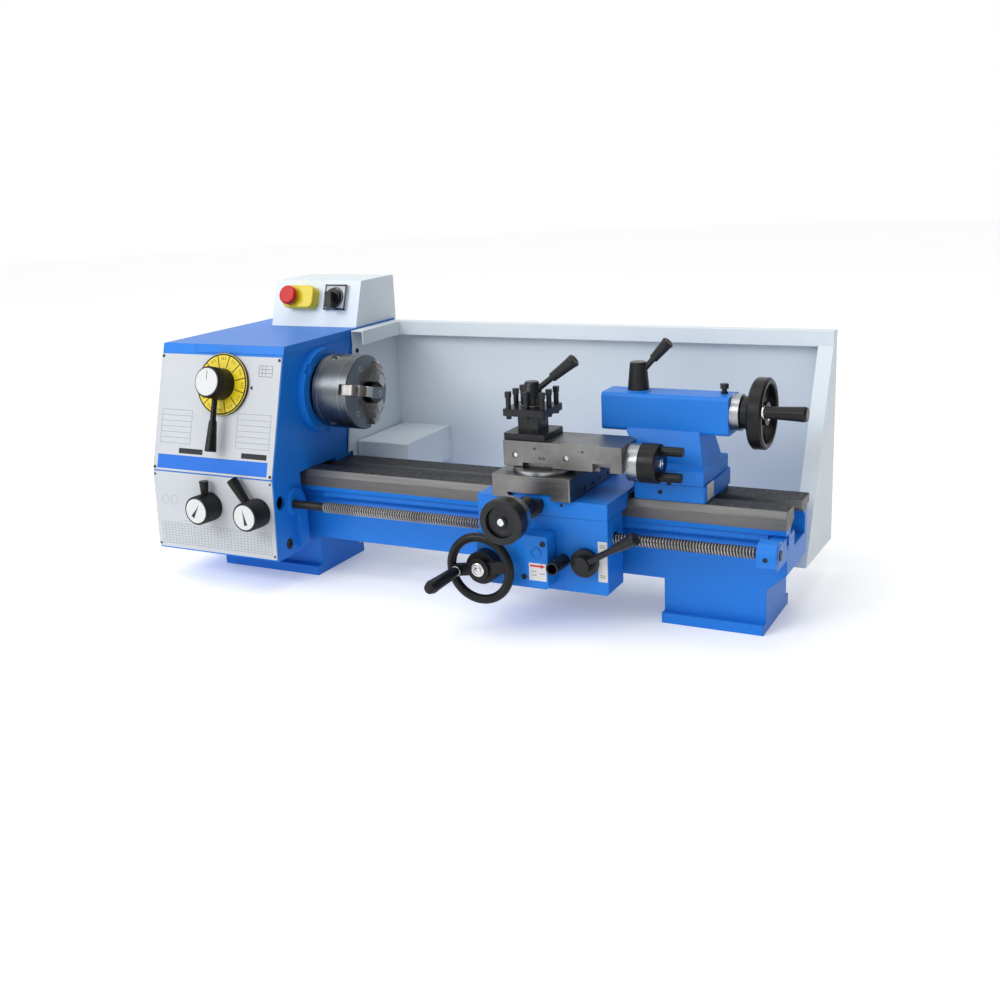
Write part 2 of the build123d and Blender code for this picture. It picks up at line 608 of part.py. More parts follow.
with BuildPart() as switch_knob:
    with BuildSketch(BOX_FRONT.offset(6.3)):
        with Locations((SWITCH_X, SWITCH_UP)):
            Circle(14.7)
    extrude(amount=8)
    with BuildSketch(BOX_FRONT.offset(14)):
        with Locations(Location((SWITCH_X, SWITCH_UP, 0), (0, 0, 10))):
            with Locations((0, -9)):
                RectangleRounded(13, 30, 3)
    extrude(amount=16)
write("switch_knob", switch_knob.part)

# ---- splash guard and rear box ------------------------------------------------------------------
with BuildPart() as splash_guard:
    lip_y, back_y, top = GUARD_LIP_Y, GUARD_BACK_Y, GUARD_TOP_Z
    lip_z, foot_y, foot_z = top - GUARD_LIP, 69.0, 60.0
    block(GUARD_X, (back_y, back_y + SHEET), (54, top))
    block(GUARD_X, (lip_y, back_y + SHEET), (top - SHEET, top))
    block(GUARD_X, (lip_y, lip_y + SHEET), (lip_z, top))
    # the right wing and the return along its sloping front edge
    wing = ((lip_y, top), (lip_y, lip_z), (foot_y, foot_z), (back_y + SHEET, 54), (back_y + SHEET, top))
    slab(wing, Plane.YZ.offset(GUARD_X[1] - SHEET), SHEET)
    edge = ((lip_y, lip_z + 1), (foot_y, foot_z), (foot_y + 2.4, foot_z), (lip_y + 2.4, lip_z + 1))
    slab(edge, Plane.YZ.offset(GUARD_X[1] - GUARD_LIP), GUARD_LIP)
    # the left wing against the headstock, with the top lip carried on to its front
    left_wing = ((98, lip_z), (98, top), (back_y + SHEET, top), (back_y + SHEET, 54), (84, 130),
                 (72, 188), (58, 188))
    slab(left_wing, Plane.YZ.offset(GUARD_X[0]), SHEET)
    lip_x = GUARD_X[0] + GUARD_LIP
    block((GUARD_X[0], lip_x), (98, lip_y + 1), (top - SHEET, top))
    block((lip_x - SHEET, lip_x), (98, lip_y + 1), (lip_z, top))
write("splash_guard", splash_guard.part)

with BuildPart() as rear_cover:
    block((-285, -182), (86, GUARD_BACK_Y), (142, 203))
    fillet(rear_cover.edges().filter_by(Axis.X).sort_by(Axis.Y)[:2], 2.0)
    block((-283, -184), (88, GUARD_BACK_Y - 2), (144, 201), Mode.SUBTRACT)
write("rear_cover", rear_cover.part)

# ---- carriage -----------------------------------------------------------------------------------
def dovetail(centre, half_foot, half_head, z):
    """A dovetail section, wider at its head, as points across and up."""
    return (
        (centre - half_foot, z[0]), (centre + half_foot, z[0]),
        (centre + half_head, z[1]), (centre - half_head, z[1]),
    )


with BuildPart() as saddle:
    block(CARRIAGE_X, (APRON_Y[0], RAIL_FRONT_Y[0] - 1), (APRON_Z[1] + 0.2, SADDLE_TOP_Z))
    block(CARRIAGE_X, (RAIL_FRONT_Y[0] - 2, 72), (WAYS_Z + 0.3, SADDLE_TOP_Z))
    block(CARRIAGE_X, (RAIL_REAR_Y[0], 72), (REAR_WAY_Z + 0.3, WAYS_Z + 1))
    block(CARRIAGE_X, (70.3, 82), (160, SADDLE_TOP_Z))
    block((CARRIAGE_X[0] + 20, CARRIAGE_X[1] - 20), (60, 82), (154, 165.7))
    slab(dovetail(CROSS_AXIS_X, 30, 36, (SADDLE_TOP_Z, 208)), Plane.XZ.offset(-APRON_Y[0]), -227)
    block((CROSS_AXIS_X - 7.5, CROSS_AXIS_X + 7.5), (APRON_Y[0] + 14, 70), (180, 210), Mode.SUBTRACT)
    rod((CROSS_AXIS_X, APRON_Y[0] - 1, CROSS_AXIS_Z), (0, 1, 0), FEED_R + GAP, 20, Mode.SUBTRACT)
write("saddle", saddle.part)

with BuildPart() as apron:
    block(CARRIAGE_X, APRON_Y, APRON_Z)
    fillet(apron.edges().filter_by(Axis.Y).sort_by(Axis.Z)[:2], 4.0)
    block((CARRIAGE_X[0] + 9, CARRIAGE_X[1] - 9), (APRON_Y[0] + 10, APRON_Y[1] + 1),
          (APRON_Z[0] + 8, APRON_Z[1] - 12), Mode.SUBTRACT)
    rod((CARRIAGE_X[0] - 1, SCREW_Y, SCREW_Z), (1, 0, 0), SCREW_R + 2, 220, Mode.SUBTRACT)
    for x, z in ((WHEEL_X, WHEEL_Z), NUT_LEVER, FEED_KNOB):
        rod((x, APRON_Y[0] - 5, z), (0, 1, 0), 7 + GAP, 20, Mode.SUBTRACT)
write("apron", apron.part)

with BuildPart() as apron_cover:
    block((92, 207.5), COVER_Y, (72, 153))
    fillet(apron_cover.edges().filter_by(Axis.Y), 5.0)
    block((97, 202.5), (COVER_Y[0] + 5, COVER_Y[1] + 1), (77, 148), Mode.SUBTRACT)
    rod((WHEEL_X, COVER_Y[0], WHEEL_Z), (0, 1, 0), 14, 20)
    rod((WHEEL_X, COVER_Y[0] - 1, WHEEL_Z), (0, 1, 0), 7 + GAP, 40, Mode.SUBTRACT)
write("apron_cover", apron_cover.part)

with BuildPart() as screw_bracket:
    rod((CROSS_AXIS_X, APRON_Y[0], CROSS_AXIS_Z - 1), (0, -1, 0), 19, 14)
    rod((CROSS_AXIS_X, APRON_Y[0], CROSS_AXIS_Z), (0, -1, 0), 14, 56)
    block((CROSS_AXIS_X - 30, CROSS_AXIS_X + 30), (APRON_Y[0] - 15, APRON_Y[0] + 1),
          (CROSS_Z[0] - 0.5, CROSS_Z[0] + 30), Mode.SUBTRACT)
    rod((CROSS_AXIS_X, APRON_Y[0] + 1, CROSS_AXIS_Z), (0, -1, 0), FEED_R + GAP, 70, Mode.SUBTRACT)
write("screw_bracket", screw_bracket.part)

with BuildPart() as way_wipers:
    for x in (CARRIAGE_X[0] - 4, CARRIAGE_X[1]):
        block((x, x + 4), (-64, -26), (WAYS_Z + 0.3, WAYS_Z + 9))
        block((x, x + 4), (28, 66), (REAR_WAY_Z + 0.3, WAYS_Z + 9))
write("way_wipers", way_wipers.part)

with BuildPart() as carriage_wheel:
    rod((WHEEL_X, WHEEL_Y - 8, WHEEL_Z), (0, 1, 0), 17, 24)
    rod((WHEEL_X, WHEEL_Y + 2, WHEEL_Z), (0, 1, 0), 25, 19)
    rod((WHEEL_X, WHEEL_Y + 20, WHEEL_Z), (0, 1, 0), 7, 50)
    with Locations(Plane(origin=(WHEEL_X, WHEEL_Y, WHEEL_Z), z_dir=(0, 1, 0))):
        Torus(WHEEL_R - 7, 7)
    for angle in (-9, -189):
        with Locations(Location((WHEEL_X, WHEEL_Y, WHEEL_Z), (0, angle, 0))):
            with Locations((30, 0, 0)):
                Box(32, 8, 18)
    rod((WHEEL_HANDLE_X, WHEEL_Y, WHEEL_HANDLE_Z), (0, -1, 0), 5, 70)
write("carriage_wheel", carriage_wheel.part)

with BuildPart() as carriage_grip:
    grip_end = (WHEEL_HANDLE_X, WHEEL_Y - 8.5, WHEEL_HANDLE_Z)
    turn(
        ((0, 0), (7, 0), (8.6, -16), (9.4, -50), (10.3, -72), (8, -80), (0, -81.5)),
        Plane(origin=grip_end, x_dir=(1, 0, 0), z_dir=(0, 0, 1)),
        Axis(grip_end, (0, 1, 0)),
    )
    rod((WHEEL_HANDLE_X, WHEEL_Y - 6, WHEEL_HANDLE_Z), (0, -1, 0), 5.05, 66, Mode.SUBTRACT)
write("carriage_grip", carriage_grip.part)

with BuildPart() as half_nut_lever:
    x, z = NUT_LEVER
    rod((x, APRON_Y[0] - 0.3, z), (0, -1, 0), 21, 10)
    rod((x, APRON_Y[0] - 10, z), (0, -1, 0), 13, 12)
    rod((x, APRON_Y[0] + 12, z), (0, -1, 0), 7, 14)
    rod_between((x, -160, z), (x + 62, -166, z + 37), 5)
    taper((x + 50, -165, z + 30), (84, -8, 50), 6, 9.5, 42)
write("half_nut_lever", half_nut_lever.part)

with BuildPart() as feed_knob:
    x, z = FEED_KNOB
    rod((x, APRON_Y[0] - 0.3, z), (0, -1, 0), 9.5, 26)
    taper((x, APRON_Y[0] - 26, z), (0, -1, 0), 8, 9.5, 18)
    rod((x, APRON_Y[0] + 12, z), (0, -1, 0), 7, 14)
write("feed_knob", feed_knob.part)

with BuildPart() as cross_slide:
    block(CROSS_X, CROSS_Y, CROSS_Z)
    fillet(cross_slide.edges().filter_by(Axis.Z), 2.0)
    slab(dovetail(CROSS_AXIS_X, 31.2, 36.9, (CROSS_Z[0] - 0.1, 208.4)), Plane.XZ.offset(200), -300,
         Mode.SUBTRACT)
    block((CROSS_AXIS_X - 6.5, CROSS_AXIS_X + 6.5), (-82, -62), (188, 216))
    rod((CROSS_AXIS_X, -90, CROSS_AXIS_Z), (0, 1, 0), FEED_R + GAP, 40, Mode.SUBTRACT)
    for y in (-130, -100, -70, -40, -10):
        rod((CROSS_X[1] + 1, y, 208), (-1, 0, 0), 3, 8, Mode.SUBTRACT)
write("cross_slide", cross_slide.part)

with BuildPart() as cross_wheel:
    x, z = CROSS_AXIS_X, CROSS_AXIS_Z
    rod((x, DISC_FACE_Y + 4, z), (0, 1, 0), FEED_R, 262)
    rod((x, DISC_FACE_Y, z), (0, 1, 0), 33.5, 20)
    fillet(cross_wheel.edges().filter_by(GeomType.CIRCLE).sort_by(Axis.Y)[:1], 3.0)
    rod((x, DISC_FACE_Y - 1, z), (0, 1, 0), 23, 7, Mode.SUBTRACT)
    rod((x, DISC_FACE_Y + 3, z), (0, 1, 0), 8, 6)
write("cross_wheel", cross_wheel.part)

with BuildPart() as cross_dial:
    rod((CROSS_AXIS_X, DISC_FACE_Y + 20.2, CROSS_AXIS_Z), (0, 1, 0), 30, 17)
    rod((CROSS_AXIS_X, DISC_FACE_Y + 19, CROSS_AXIS_Z), (0, 1, 0), FEED_R + 0.02, 30, Mode.SUBTRACT)
write("cross_dial", cross_dial.part)

# ---- swivel, top slide and tool post ------------------------------------------------------------
with BuildPart() as swivel_base:
    rod((SWIVEL_X, SWIVEL_Y, CROSS_Z[1] + 0.2), (0, 0, 1), SWIVEL_R, 6.6)
    block((TOP_SLIDE_X[0] + 9, TOP_SLIDE_X[1] - 38), (-118, -68), (240, 246))
    slab(
        [(y, z) for y, z in dovetail(TOP_AXIS_Y, 13, 19, (245.5, 259))],
        Plane.YZ.offset(TOP_SLIDE_X[0] + 9),
        TOP_SLIDE_X[1] - TOP_SLIDE_X[0] - 47,
    )
    rod((TOP_SLIDE_X[0] - 1, TOP_AXIS_Y, TOP_AXIS_Z), (1, 0, 0), FEED_R + GAP, 220, Mode.SUBTRACT)
write("swivel_base", swivel_base.part)

with BuildPart() as top_slide:
    block(TOP_SLIDE_X, TOP_SLIDE_Y, TOP_SLIDE_Z)
    chamfer(top_slide.edges().filter_by(Axis.Z).sort_by(Axis.X)[-2:].sort_by(Axis.Y)[-1:], 14.0)
    slab(
        [(y, z) for y, z in dovetail(TOP_AXIS_Y, 13.8, 19.7, (246.2, 259.4))],
        Plane.YZ.offset(TOP_SLIDE_X[0] - 1),
        TOP_SLIDE_X[1] - TOP_SLIDE_X[0] - 6,
        Mode.SUBTRACT,
    )
    block((TOP_SLIDE_X[0] - 1, TOP_SLIDE_X[1] - 7), (-118.5, -67.5), (240, 246.4), Mode.SUBTRACT)
    rod((TOP_SLIDE_X[0], TOP_AXIS_Y, TOP_AXIS_Z), (1, 0, 0), FEED_R + GAP, 220, Mode.SUBTRACT)
    block((150, 198), (TOP_SLIDE_Y[0] - 1, -117), (241, 248), Mode.SUBTRACT)
    block((261, 288), (TOP_SLIDE_Y[0] - 1, -117), (241, 254), Mode.SUBTRACT)
    for x in (138, 220):
        rod((x, TOP_SLIDE_Y[0] - 1, 258.5), (0, 1, 0), 4.5, 4, Mode.SUBTRACT)
    rod((POST_X, POST_Y, TOP_SLIDE_Z[1] - 4), (0, 0, 1), STUD_R, 58)
write("top_slide", top_slide.part)

with BuildPart() as top_slide_wheel:
    x = TOP_SLIDE_X[1]
    rod((x - 130, TOP_AXIS_Y, TOP_AXIS_Z), (1, 0, 0), FEED_R, 150)
    rod((x + 18.2, TOP_AXIS_Y, TOP_AXIS_Z), (1, 0, 0), 29, 27)
    fillet(top_slide_wheel.edges().filter_by(GeomType.CIRCLE).sort_by(Axis.X)[-1:], 3.0)
    for side in (-1, 1):
        spot = (x + 42, TOP_AXIS_Y + 4 * side, TOP_AXIS_Z + side * 18)
        rod(spot, (1, 0, 0), 7, 35)
write("top_slide_wheel", top_slide_wheel.part)

with BuildPart() as top_slide_dial:
    rod((TOP_SLIDE_X[1] + 0.3, TOP_AXIS_Y, TOP_AXIS_Z), (1, 0, 0), 27.5, 17.7)
    rod((TOP_SLIDE_X[1] - 1, TOP_AXIS_Y, TOP_AXIS_Z), (1, 0, 0), FEED_R + 0.02, 30, Mode.SUBTRACT)
write("top_slide_dial", top_slide_dial.part)

BLOCK_Z = (280.2, 289.5, 315.0, 325.5)
POST_SCREWS = []
for dx, dy in ((-26, -28), (-26, -2)):
    for _ in range(4):
        POST_SCREWS.append((dx, dy))
        dx, dy = -dy, dx
with BuildPart() as tool_post:
    for half, z in ((33.5, BLOCK_Z[:2]), (17.5, (BLOCK_Z[1] - 1, BLOCK_Z[2] + 1)), (33.5, BLOCK_Z[2:])):
        block((POST_X - half, POST_X + half), (POST_Y - half, POST_Y + half), z)
    chamfer(tool_post.edges().filter_by(Axis.Z), 1.5)
    rod((POST_X, POST_Y, 270), (0, 0, 1), STUD_R + GAP, 70, Mode.SUBTRACT)
    for dx, dy in POST_SCREWS:
        rod((POST_X + dx, POST_Y + dy, BLOCK_Z[2] - 5), (0, 0, 1), 3.9, 34)
        block((POST_X + dx - 3.7, POST_X + dx + 3.7), (POST_Y + dy - 3.7, POST_Y + dy + 3.7), (342, 351))
write("tool_post", tool_post.part)

with BuildPart() as tool_post_lever:
    rod((POST_X, POST_Y, BLOCK_Z[3] + 0.3), (0, 0, 1), 17, 13)
    taper((POST_X, POST_Y, BLOCK_Z[3] + 13), (0, 0, 1), 17, 10, 24)
    fillet(tool_post_lever.faces().sort_by(Axis.Z)[-1].edges(), 3.0)
    rod((POST_X, POST_Y, 320), (0, 0, 1), STUD_R + GAP, 22, Mode.SUBTRACT)
    rod_between((POST_X + 6, POST_Y, 348), (POST_X + 36, POST_Y, 371), 4.5)
    taper((POST_X + 34, POST_Y, 369.5), (36, 0, 27), 7, 9.5, 44)
write("tool_post_lever", tool_post_lever.part)

# ---- tailstock ----------------------------------------------------------------------------------
with BuildPart() as tailstock_base:
    block(TAIL_BASE_X, TAIL_BASE_Y, (WAYS_Z + 0.3, SOLE_TOP_Z))
    chamfer(tailstock_base.edges().filter_by(Axis.Z), 3.0)
    block((TAIL_BASE_X[0] + 3, TAIL_BASE_X[1] - 3), (RAIL_REAR_Y[0], TAIL_BASE_Y[1] - 3),
          (REAR_WAY_Z + 0.3, WAYS_Z + 1))
write("tailstock_base", tailstock_base.part)

with BuildPart() as tailstock_body:
    front, back = TAIL_BASE_Y
    profile = (
        (front, SOLE_TOP_Z + 0.2), (front, 234), (-44, 239), (-30, 286),
        (30, 286), (44, 239), (back - 6, 234), (back - 6, SOLE_TOP_Z + 0.2),
    )
    slab(profile, Plane.YZ.offset(TAIL_BASE_X[0] - 22), 150)
    side = (
        (296, SOLE_TOP_Z), (296, 236), (286, 262), (276, 282), (276, 300), (389, 300), (389, 280),
        (398, 238), (404, 234), (404, SOLE_TOP_Z),
    )
    slab(side, Plane.XZ.offset(-100), 200, Mode.INTERSECT)
    with BuildSketch(Plane.YZ.offset(TAIL_X[0])):
        with Locations((0, SPINDLE_Z - 3)):
            RectangleRounded(2 * TAIL_R, 57, 6)
    extrude(amount=TAIL_X[1] - TAIL_X[0])
    rod((TAIL_X[0] - 1, 0, SPINDLE_Z), (1, 0, 0), QUILL_R + 0.05, 175, Mode.SUBTRACT)
    rod((TAIL_X[0] + 170, 0, SPINDLE_Z), (1, 0, 0), 7 + GAP, 40, Mode.SUBTRACT)
    rod((QUILL_LEVER_X, 0, SPINDLE_Z + 18), (0, 0, 1), 6 + GAP, 20, Mode.SUBTRACT)
write("tailstock_body", tailstock_body.part)

with BuildPart() as tailstock_clamp:
    block((312, 380), (-36, 36), (151, 160))
    rod((346, 0, 159), (0, 0, 1), 8, 28)
write("tailstock_clamp", tailstock_clamp.part)

with BuildPart() as quill:
    rod((TAIL_X[0] + 0.5, 0, SPINDLE_Z), (1, 0, 0), QUILL_R, 160)
    chamfer(quill.edges().filter_by(GeomType.CIRCLE), 1.0)
    rod((TAIL_X[0], 0, SPINDLE_Z), (1, 0, 0), 9, 61, Mode.SUBTRACT)
    rod((TAIL_X[0] + 60, 0, SPINDLE_Z), (1, 0, 0), 6 + GAP, 120, Mode.SUBTRACT)
write("quill", quill.part)

lean = math.radians(-15)
HANDLE_YZ = (-42 * math.cos(lean), SPINDLE_Z - 42 * math.sin(lean))
with BuildPart() as tail_wheel:
    rod((TAIL_X[1] + 13.8, 0, SPINDLE_Z), (1, 0, 0), 24, 12.2)
    fillet(tail_wheel.edges().filter_by(GeomType.CIRCLE), 2.0)
    rod((TAIL_X[0] + 70, 0, SPINDLE_Z), (1, 0, 0), 6, 116)
    rod((TAIL_X[1] - 12, 0, SPINDLE_Z), (1, 0, 0), 7, 40)
    rod((450, 0, SPINDLE_Z), (1, 0, 0), 17, 30)
    rim = TAIL_WHEEL_R
    turn(
        ((-9, rim - 9), (-11, rim - 7), (-11, rim - 3), (-8, rim), (8, rim), (11, rim - 3), (11, rim - 7),
         (9, rim - 9)),
        Plane(origin=(TAIL_WHEEL_X, 0, SPINDLE_Z), x_dir=(1, 0, 0), z_dir=(0, -1, 0)),
        Axis((TAIL_WHEEL_X, 0, SPINDLE_Z), (1, 0, 0)),
    )
    for angle in (-15, 105, 225):
        with Locations(Location((TAIL_WHEEL_X - 3, 0, SPINDLE_Z), (angle, 0, 0))):
            with Locations((0, -30.5, 0)):
                Box(6, 32, 14)
    rod((TAIL_WHEEL_X, *HANDLE_YZ), (1, 0, 0), 5, 60)
write("tail_wheel", tail_wheel.part)

with BuildPart() as tail_dial:
    rod((TAIL_X[1] + 0.4, 0, SPINDLE_Z), (1, 0, 0), 27, 13.2)
    rod((TAIL_X[1] - 1, 0, SPINDLE_Z), (1, 0, 0), 7.02, 30, Mode.SUBTRACT)
write("tail_dial", tail_dial.part)

with BuildPart() as tail_grip:
    turn(
        ((0, 0), (0, 8.5), (14, 9), (40, 10), (59, 11), (62.5, 9.5), (62.5, 0)),
        Plane(origin=(TAIL_WHEEL_X + 11.5, *HANDLE_YZ), x_dir=(1, 0, 0), z_dir=(0, -1, 0)),
        Axis((TAIL_WHEEL_X, *HANDLE_YZ), (1, 0, 0)),
    )
    rod((TAIL_WHEEL_X + 7, *HANDLE_YZ), (1, 0, 0), 5.05, 55, Mode.SUBTRACT)
write("tail_grip", tail_grip.part)

with BuildPart() as quill_lever:
    taper((QUILL_LEVER_X, 0, 337.8), (0, 0, 1), 16.5, 12.5, 43)
    fillet(quill_lever.faces().sort_by(Axis.Z)[-1].edges(), 2.0)
    rod((QUILL_LEVER_X, 0, SPINDLE_Z + 19), (0, 0, 1), 6, 12)
    rod_between((QUILL_LEVER_X + 4, 0, 364), (QUILL_LEVER_X + 26, 0, 388), 4.5)
    taper((QUILL_LEVER_X + 24, 0, 386), (22, 0, 24), 6.8, 9, 34)
write("quill_lever", quill_lever.part)
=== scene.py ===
"""Looks of the bench lathe: materials on the CAD pieces, and finer meshes where the solids are plain."""

import json
import math

import bmesh
import bpy
from mathutils import Matrix, Vector


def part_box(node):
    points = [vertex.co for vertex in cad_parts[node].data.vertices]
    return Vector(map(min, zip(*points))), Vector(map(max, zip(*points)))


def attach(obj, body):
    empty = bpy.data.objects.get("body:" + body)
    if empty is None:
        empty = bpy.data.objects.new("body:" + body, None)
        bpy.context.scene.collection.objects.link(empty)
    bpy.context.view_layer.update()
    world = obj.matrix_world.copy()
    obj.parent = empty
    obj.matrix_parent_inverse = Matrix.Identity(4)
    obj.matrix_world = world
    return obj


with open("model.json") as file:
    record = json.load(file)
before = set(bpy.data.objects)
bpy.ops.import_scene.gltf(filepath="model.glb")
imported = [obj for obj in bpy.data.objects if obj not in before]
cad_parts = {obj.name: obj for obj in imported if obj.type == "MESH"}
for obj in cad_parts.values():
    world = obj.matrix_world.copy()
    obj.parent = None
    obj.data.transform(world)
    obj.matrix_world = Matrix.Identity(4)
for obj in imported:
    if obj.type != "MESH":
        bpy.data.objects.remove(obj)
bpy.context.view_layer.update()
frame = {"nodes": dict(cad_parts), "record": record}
nodes = frame["nodes"]

MM = 0.001

# ---- where things are, from the frame -----------------------------------------------------------
JOINTS = {joint["name"]: joint for joint in frame["record"]["behaviour"]["joints"]}
X, Y, Z = Vector((1, 0, 0)), Vector((0, 1, 0)), Vector((0, 0, 1))


def box(node):
    """A CAD node's lowest and highest corner, in millimetres."""
    low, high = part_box(node)
    return Vector(low) / MM, Vector(high) / MM


def centre(node):
    low, high = box(node)
    return (low + high) / 2


def frame_at(origin, away, across=X):
    """A frame at a point, in millimetres: its z axis points away and its x axis runs across."""
    z = Vector(away).normalized()
    x = (across - across.dot(z) * z).normalized()
    turn = Matrix((x, z.cross(x), z)).transposed().to_4x4()
    return Matrix.Translation(Vector(origin)) @ turn


def joint_frame(name, across=X):
    """The frame of a joint whose axis stands off a panel."""
    return frame_at(Vector(JOINTS[name]["pos_m"]) / MM, JOINTS[name]["axis"], across)


# ---- materials ----------------------------------------------------------------------------------
class Shader:
    """A material's node tree with a Principled shader, and short calls to add nodes to it."""

    def __init__(self, name, colour, roughness, metallic=0.0, coat=0.0):
        self.material = bpy.data.materials.new(name)
        self.material.use_nodes = True
        self.tree = self.material.node_tree
        self.shader = self.tree.nodes["Principled BSDF"]
        self.set("Base Color", (*colour, 1.0))
        self.set("Roughness", roughness)
        self.set("Metallic", metallic)
        self.set("Coat Weight", coat)
        if coat:
            self.set("Coat Roughness", 0.08)
        self.material.diffuse_color = (*colour, 1.0)
        self.place = self.tree.nodes.new("ShaderNodeTexCoord").outputs["Object"]

    def set(self, socket, value):
        self.shader.inputs[socket].default_value = value

    def add(self, kind, **settings):
        node = self.tree.nodes.new(kind)
        for key, value in settings.items():
            setattr(node, key, value)
        return node

    def link(self, out, into):
        self.tree.links.new(out, into)

    def stretched(self, scale):
        mapping = self.add("ShaderNodeMapping")
        mapping.inputs["Scale"].default_value = scale
        self.link(self.place, mapping.inputs["Vector"])
        return mapping.outputs["Vector"]

    def noise(self, scale, detail=4.0, roughness=0.55, vector=None):
        node = self.add("ShaderNodeTexNoise")
        node.inputs["Scale"].default_value = scale
        node.inputs["Detail"].default_value = detail
        node.inputs["Roughness"].default_value = roughness
        self.link(vector or self.place, node.inputs["Vector"])
        return node.outputs["Fac"]

    def steps(self, value, low, high, to_low=0.0, to_high=1.0):
        node = self.add("ShaderNodeMapRange")
        node.inputs["From Min"].default_value = low
        node.inputs["From Max"].default_value = high
        node.inputs["To Min"].default_value = to_low
        node.inputs["To Max"].default_value = to_high
        self.link(value, node.inputs["Value"])
        return node.outputs["Result"]

    def mix(self, factor, a, b):
        node = self.add("ShaderNodeMix", data_type="RGBA")
        self.link(factor, node.inputs["Factor"])
        for socket, colour in ((node.inputs[6], a), (node.inputs[7], b)):
            if hasattr(colour, "is_output"):
                self.link(colour, socket)
            else:
                socket.default_value = (*colour, 1.0)
        return node.outputs[2]

    def maths(self, operation, a, b=None):
        node = self.add("ShaderNodeMath", operation=operation)
        for socket, value in zip(node.inputs, (a, b)):
            if value is None:
                continue
            if hasattr(value, "is_output"):
                self.link(value, socket)
            else:
                socket.default_value = value
        return node.outputs["Value"]

    def round_edges(self, radius, height=None, strength=0.3, distance=0.0005):
        """Softens the edges of the solid, and lays a bump over them."""
        bevel = self.add("ShaderNodeBevel", samples=4)
        bevel.inputs["Radius"].default_value = radius
        normal = bevel.outputs["Normal"]
        if height is not None:
            bump = self.add("ShaderNodeBump")
            bump.inputs["Strength"].default_value = strength
            bump.inputs["Distance"].default_value = distance
            self.link(height, bump.inputs["Height"])
            self.link(normal, bump.inputs["Normal"])
            normal = bump.outputs["Normal"]
        self.link(normal, self.shader.inputs["Normal"])


def enamel(name, colour, dark, roughness=0.38, coat=0.05, edge=0.0022, grain=0.25):
    """Sprayed enamel over a casting: orange peel, slow swells in the colour and a finer mottle in the gloss.
    """
    s = Shader(name, colour, roughness, coat=coat)
    s.set("Specular IOR Level", 0.25)
    swell = s.noise(9.0, 3.0)
    fine = s.noise(420.0, 2.0)
    peel = s.noise(1500.0, 1.0)
    s.link(s.mix(s.steps(swell, 0.3, 0.72), dark, colour), s.shader.inputs["Base Color"])
    s.link(s.steps(fine, 0.3, 0.75, roughness - 0.02, roughness + 0.05), s.shader.inputs["Roughness"])
    height = s.maths("ADD", s.noise(60.0, 3.0), s.maths("MULTIPLY", peel, 0.08))
    s.round_edges(edge, height, strength=grain, distance=0.0006)
    return s


def steel(name, light, dark, roughness, along=(1.0, 1.0, 1.0), edge=0.0006, metallic=1.0, stain=0.0):
    """Machined steel: fine lines along the cut, cloudy oil film and small stains."""
    s = Shader(name, light, roughness, metallic=metallic)
    lines = s.noise(900.0, 2.0, vector=s.stretched(along))
    cloud = s.noise(14.0, 5.0, 0.6)
    tone = s.steps(cloud, 0.34, 0.68)
    colour = s.mix(tone, dark, light)
    if stain:
        spots = s.steps(s.noise(75.0, 5.0, 0.7), 0.62, 0.74)
        colour = s.mix(s.maths("MULTIPLY", spots, stain), colour, tuple(0.35 * c for c in dark))
    s.link(colour, s.shader.inputs["Base Color"])
    rough = s.maths("ADD", s.steps(cloud, 0.3, 0.7, roughness + 0.10, roughness - 0.04),
                    s.steps(lines, 0.3, 0.7, -0.05, 0.06))
    s.link(rough, s.shader.inputs["Roughness"])
    s.round_edges(edge, lines, strength=0.10, distance=0.0002)
    return s


def plastic(name, colour, roughness=0.16, coat=0.3, edge=0.0008):
    """Moulded plastic: near flat, with a faint waviness and dust."""
    s = Shader(name, colour, roughness, coat=coat)
    s.set("Specular IOR Level", 0.25)
    dust = s.noise(55.0, 6.0, 0.7)
    s.link(s.mix(s.steps(dust, 0.45, 0.8, 0.0, 0.35), colour, tuple(0.02 + 0.8 * c for c in colour)),
           s.shader.inputs["Base Color"])
    s.link(s.steps(dust, 0.35, 0.75, roughness, roughness + 0.14), s.shader.inputs["Roughness"])
    s.round_edges(edge, s.noise(120.0, 2.0), strength=0.06, distance=0.0005)
    return s


BLUE, BLUE_DARK = (0.008, 0.180, 0.66), (0.007, 0.165, 0.62)
STEEL, STEEL_DARK = (0.24, 0.235, 0.23), (0.15, 0.15, 0.15)

blue = enamel("blue_enamel", BLUE, BLUE_DARK)
grey = enamel("grey_enamel", (0.70, 0.77, 0.82), (0.665, 0.735, 0.785),
              roughness=0.42, coat=0.05, edge=0.0008, grain=0.08)
motor = enamel("motor_enamel", (0.02, 0.12, 0.42), (0.015, 0.09, 0.34), roughness=0.4)
ground = steel("ground_steel", STEEL, STEEL_DARK, 0.34, along=(0.02, 1.0, 1.0), stain=0.35)
bright = steel("bright_steel", (0.50, 0.48, 0.46), (0.36, 0.35, 0.34), 0.22, along=(1.0, 0.06, 0.06))
chrome = steel("chrome", (0.72, 0.73, 0.74), (0.62, 0.63, 0.64), 0.12)
screw_steel = steel("screw_steel", (0.42, 0.42, 0.42), (0.24, 0.24, 0.25), 0.26, stain=0.3)
satin = steel("dial_steel", (0.42, 0.44, 0.46), (0.30, 0.32, 0.34), 0.26, along=(0.1, 1.0, 1.0))
oxide = steel("black_oxide", (0.026, 0.027, 0.030), (0.014, 0.015, 0.017), 0.3, metallic=0.6)
# painted shade: the leadscrew's core is near black to stand for the shade in its thread valleys
thread_shade_steel = steel("thread_valley_painted_shade", (0.030, 0.026, 0.022), (0.015, 0.013, 0.011), 0.4, metallic=0.6)
black = plastic("black_plastic", (0.005, 0.005, 0.006), roughness=0.28, coat=0.0)
red = plastic("red_plastic", (0.55, 0.008, 0.008), roughness=0.3, coat=0.1)
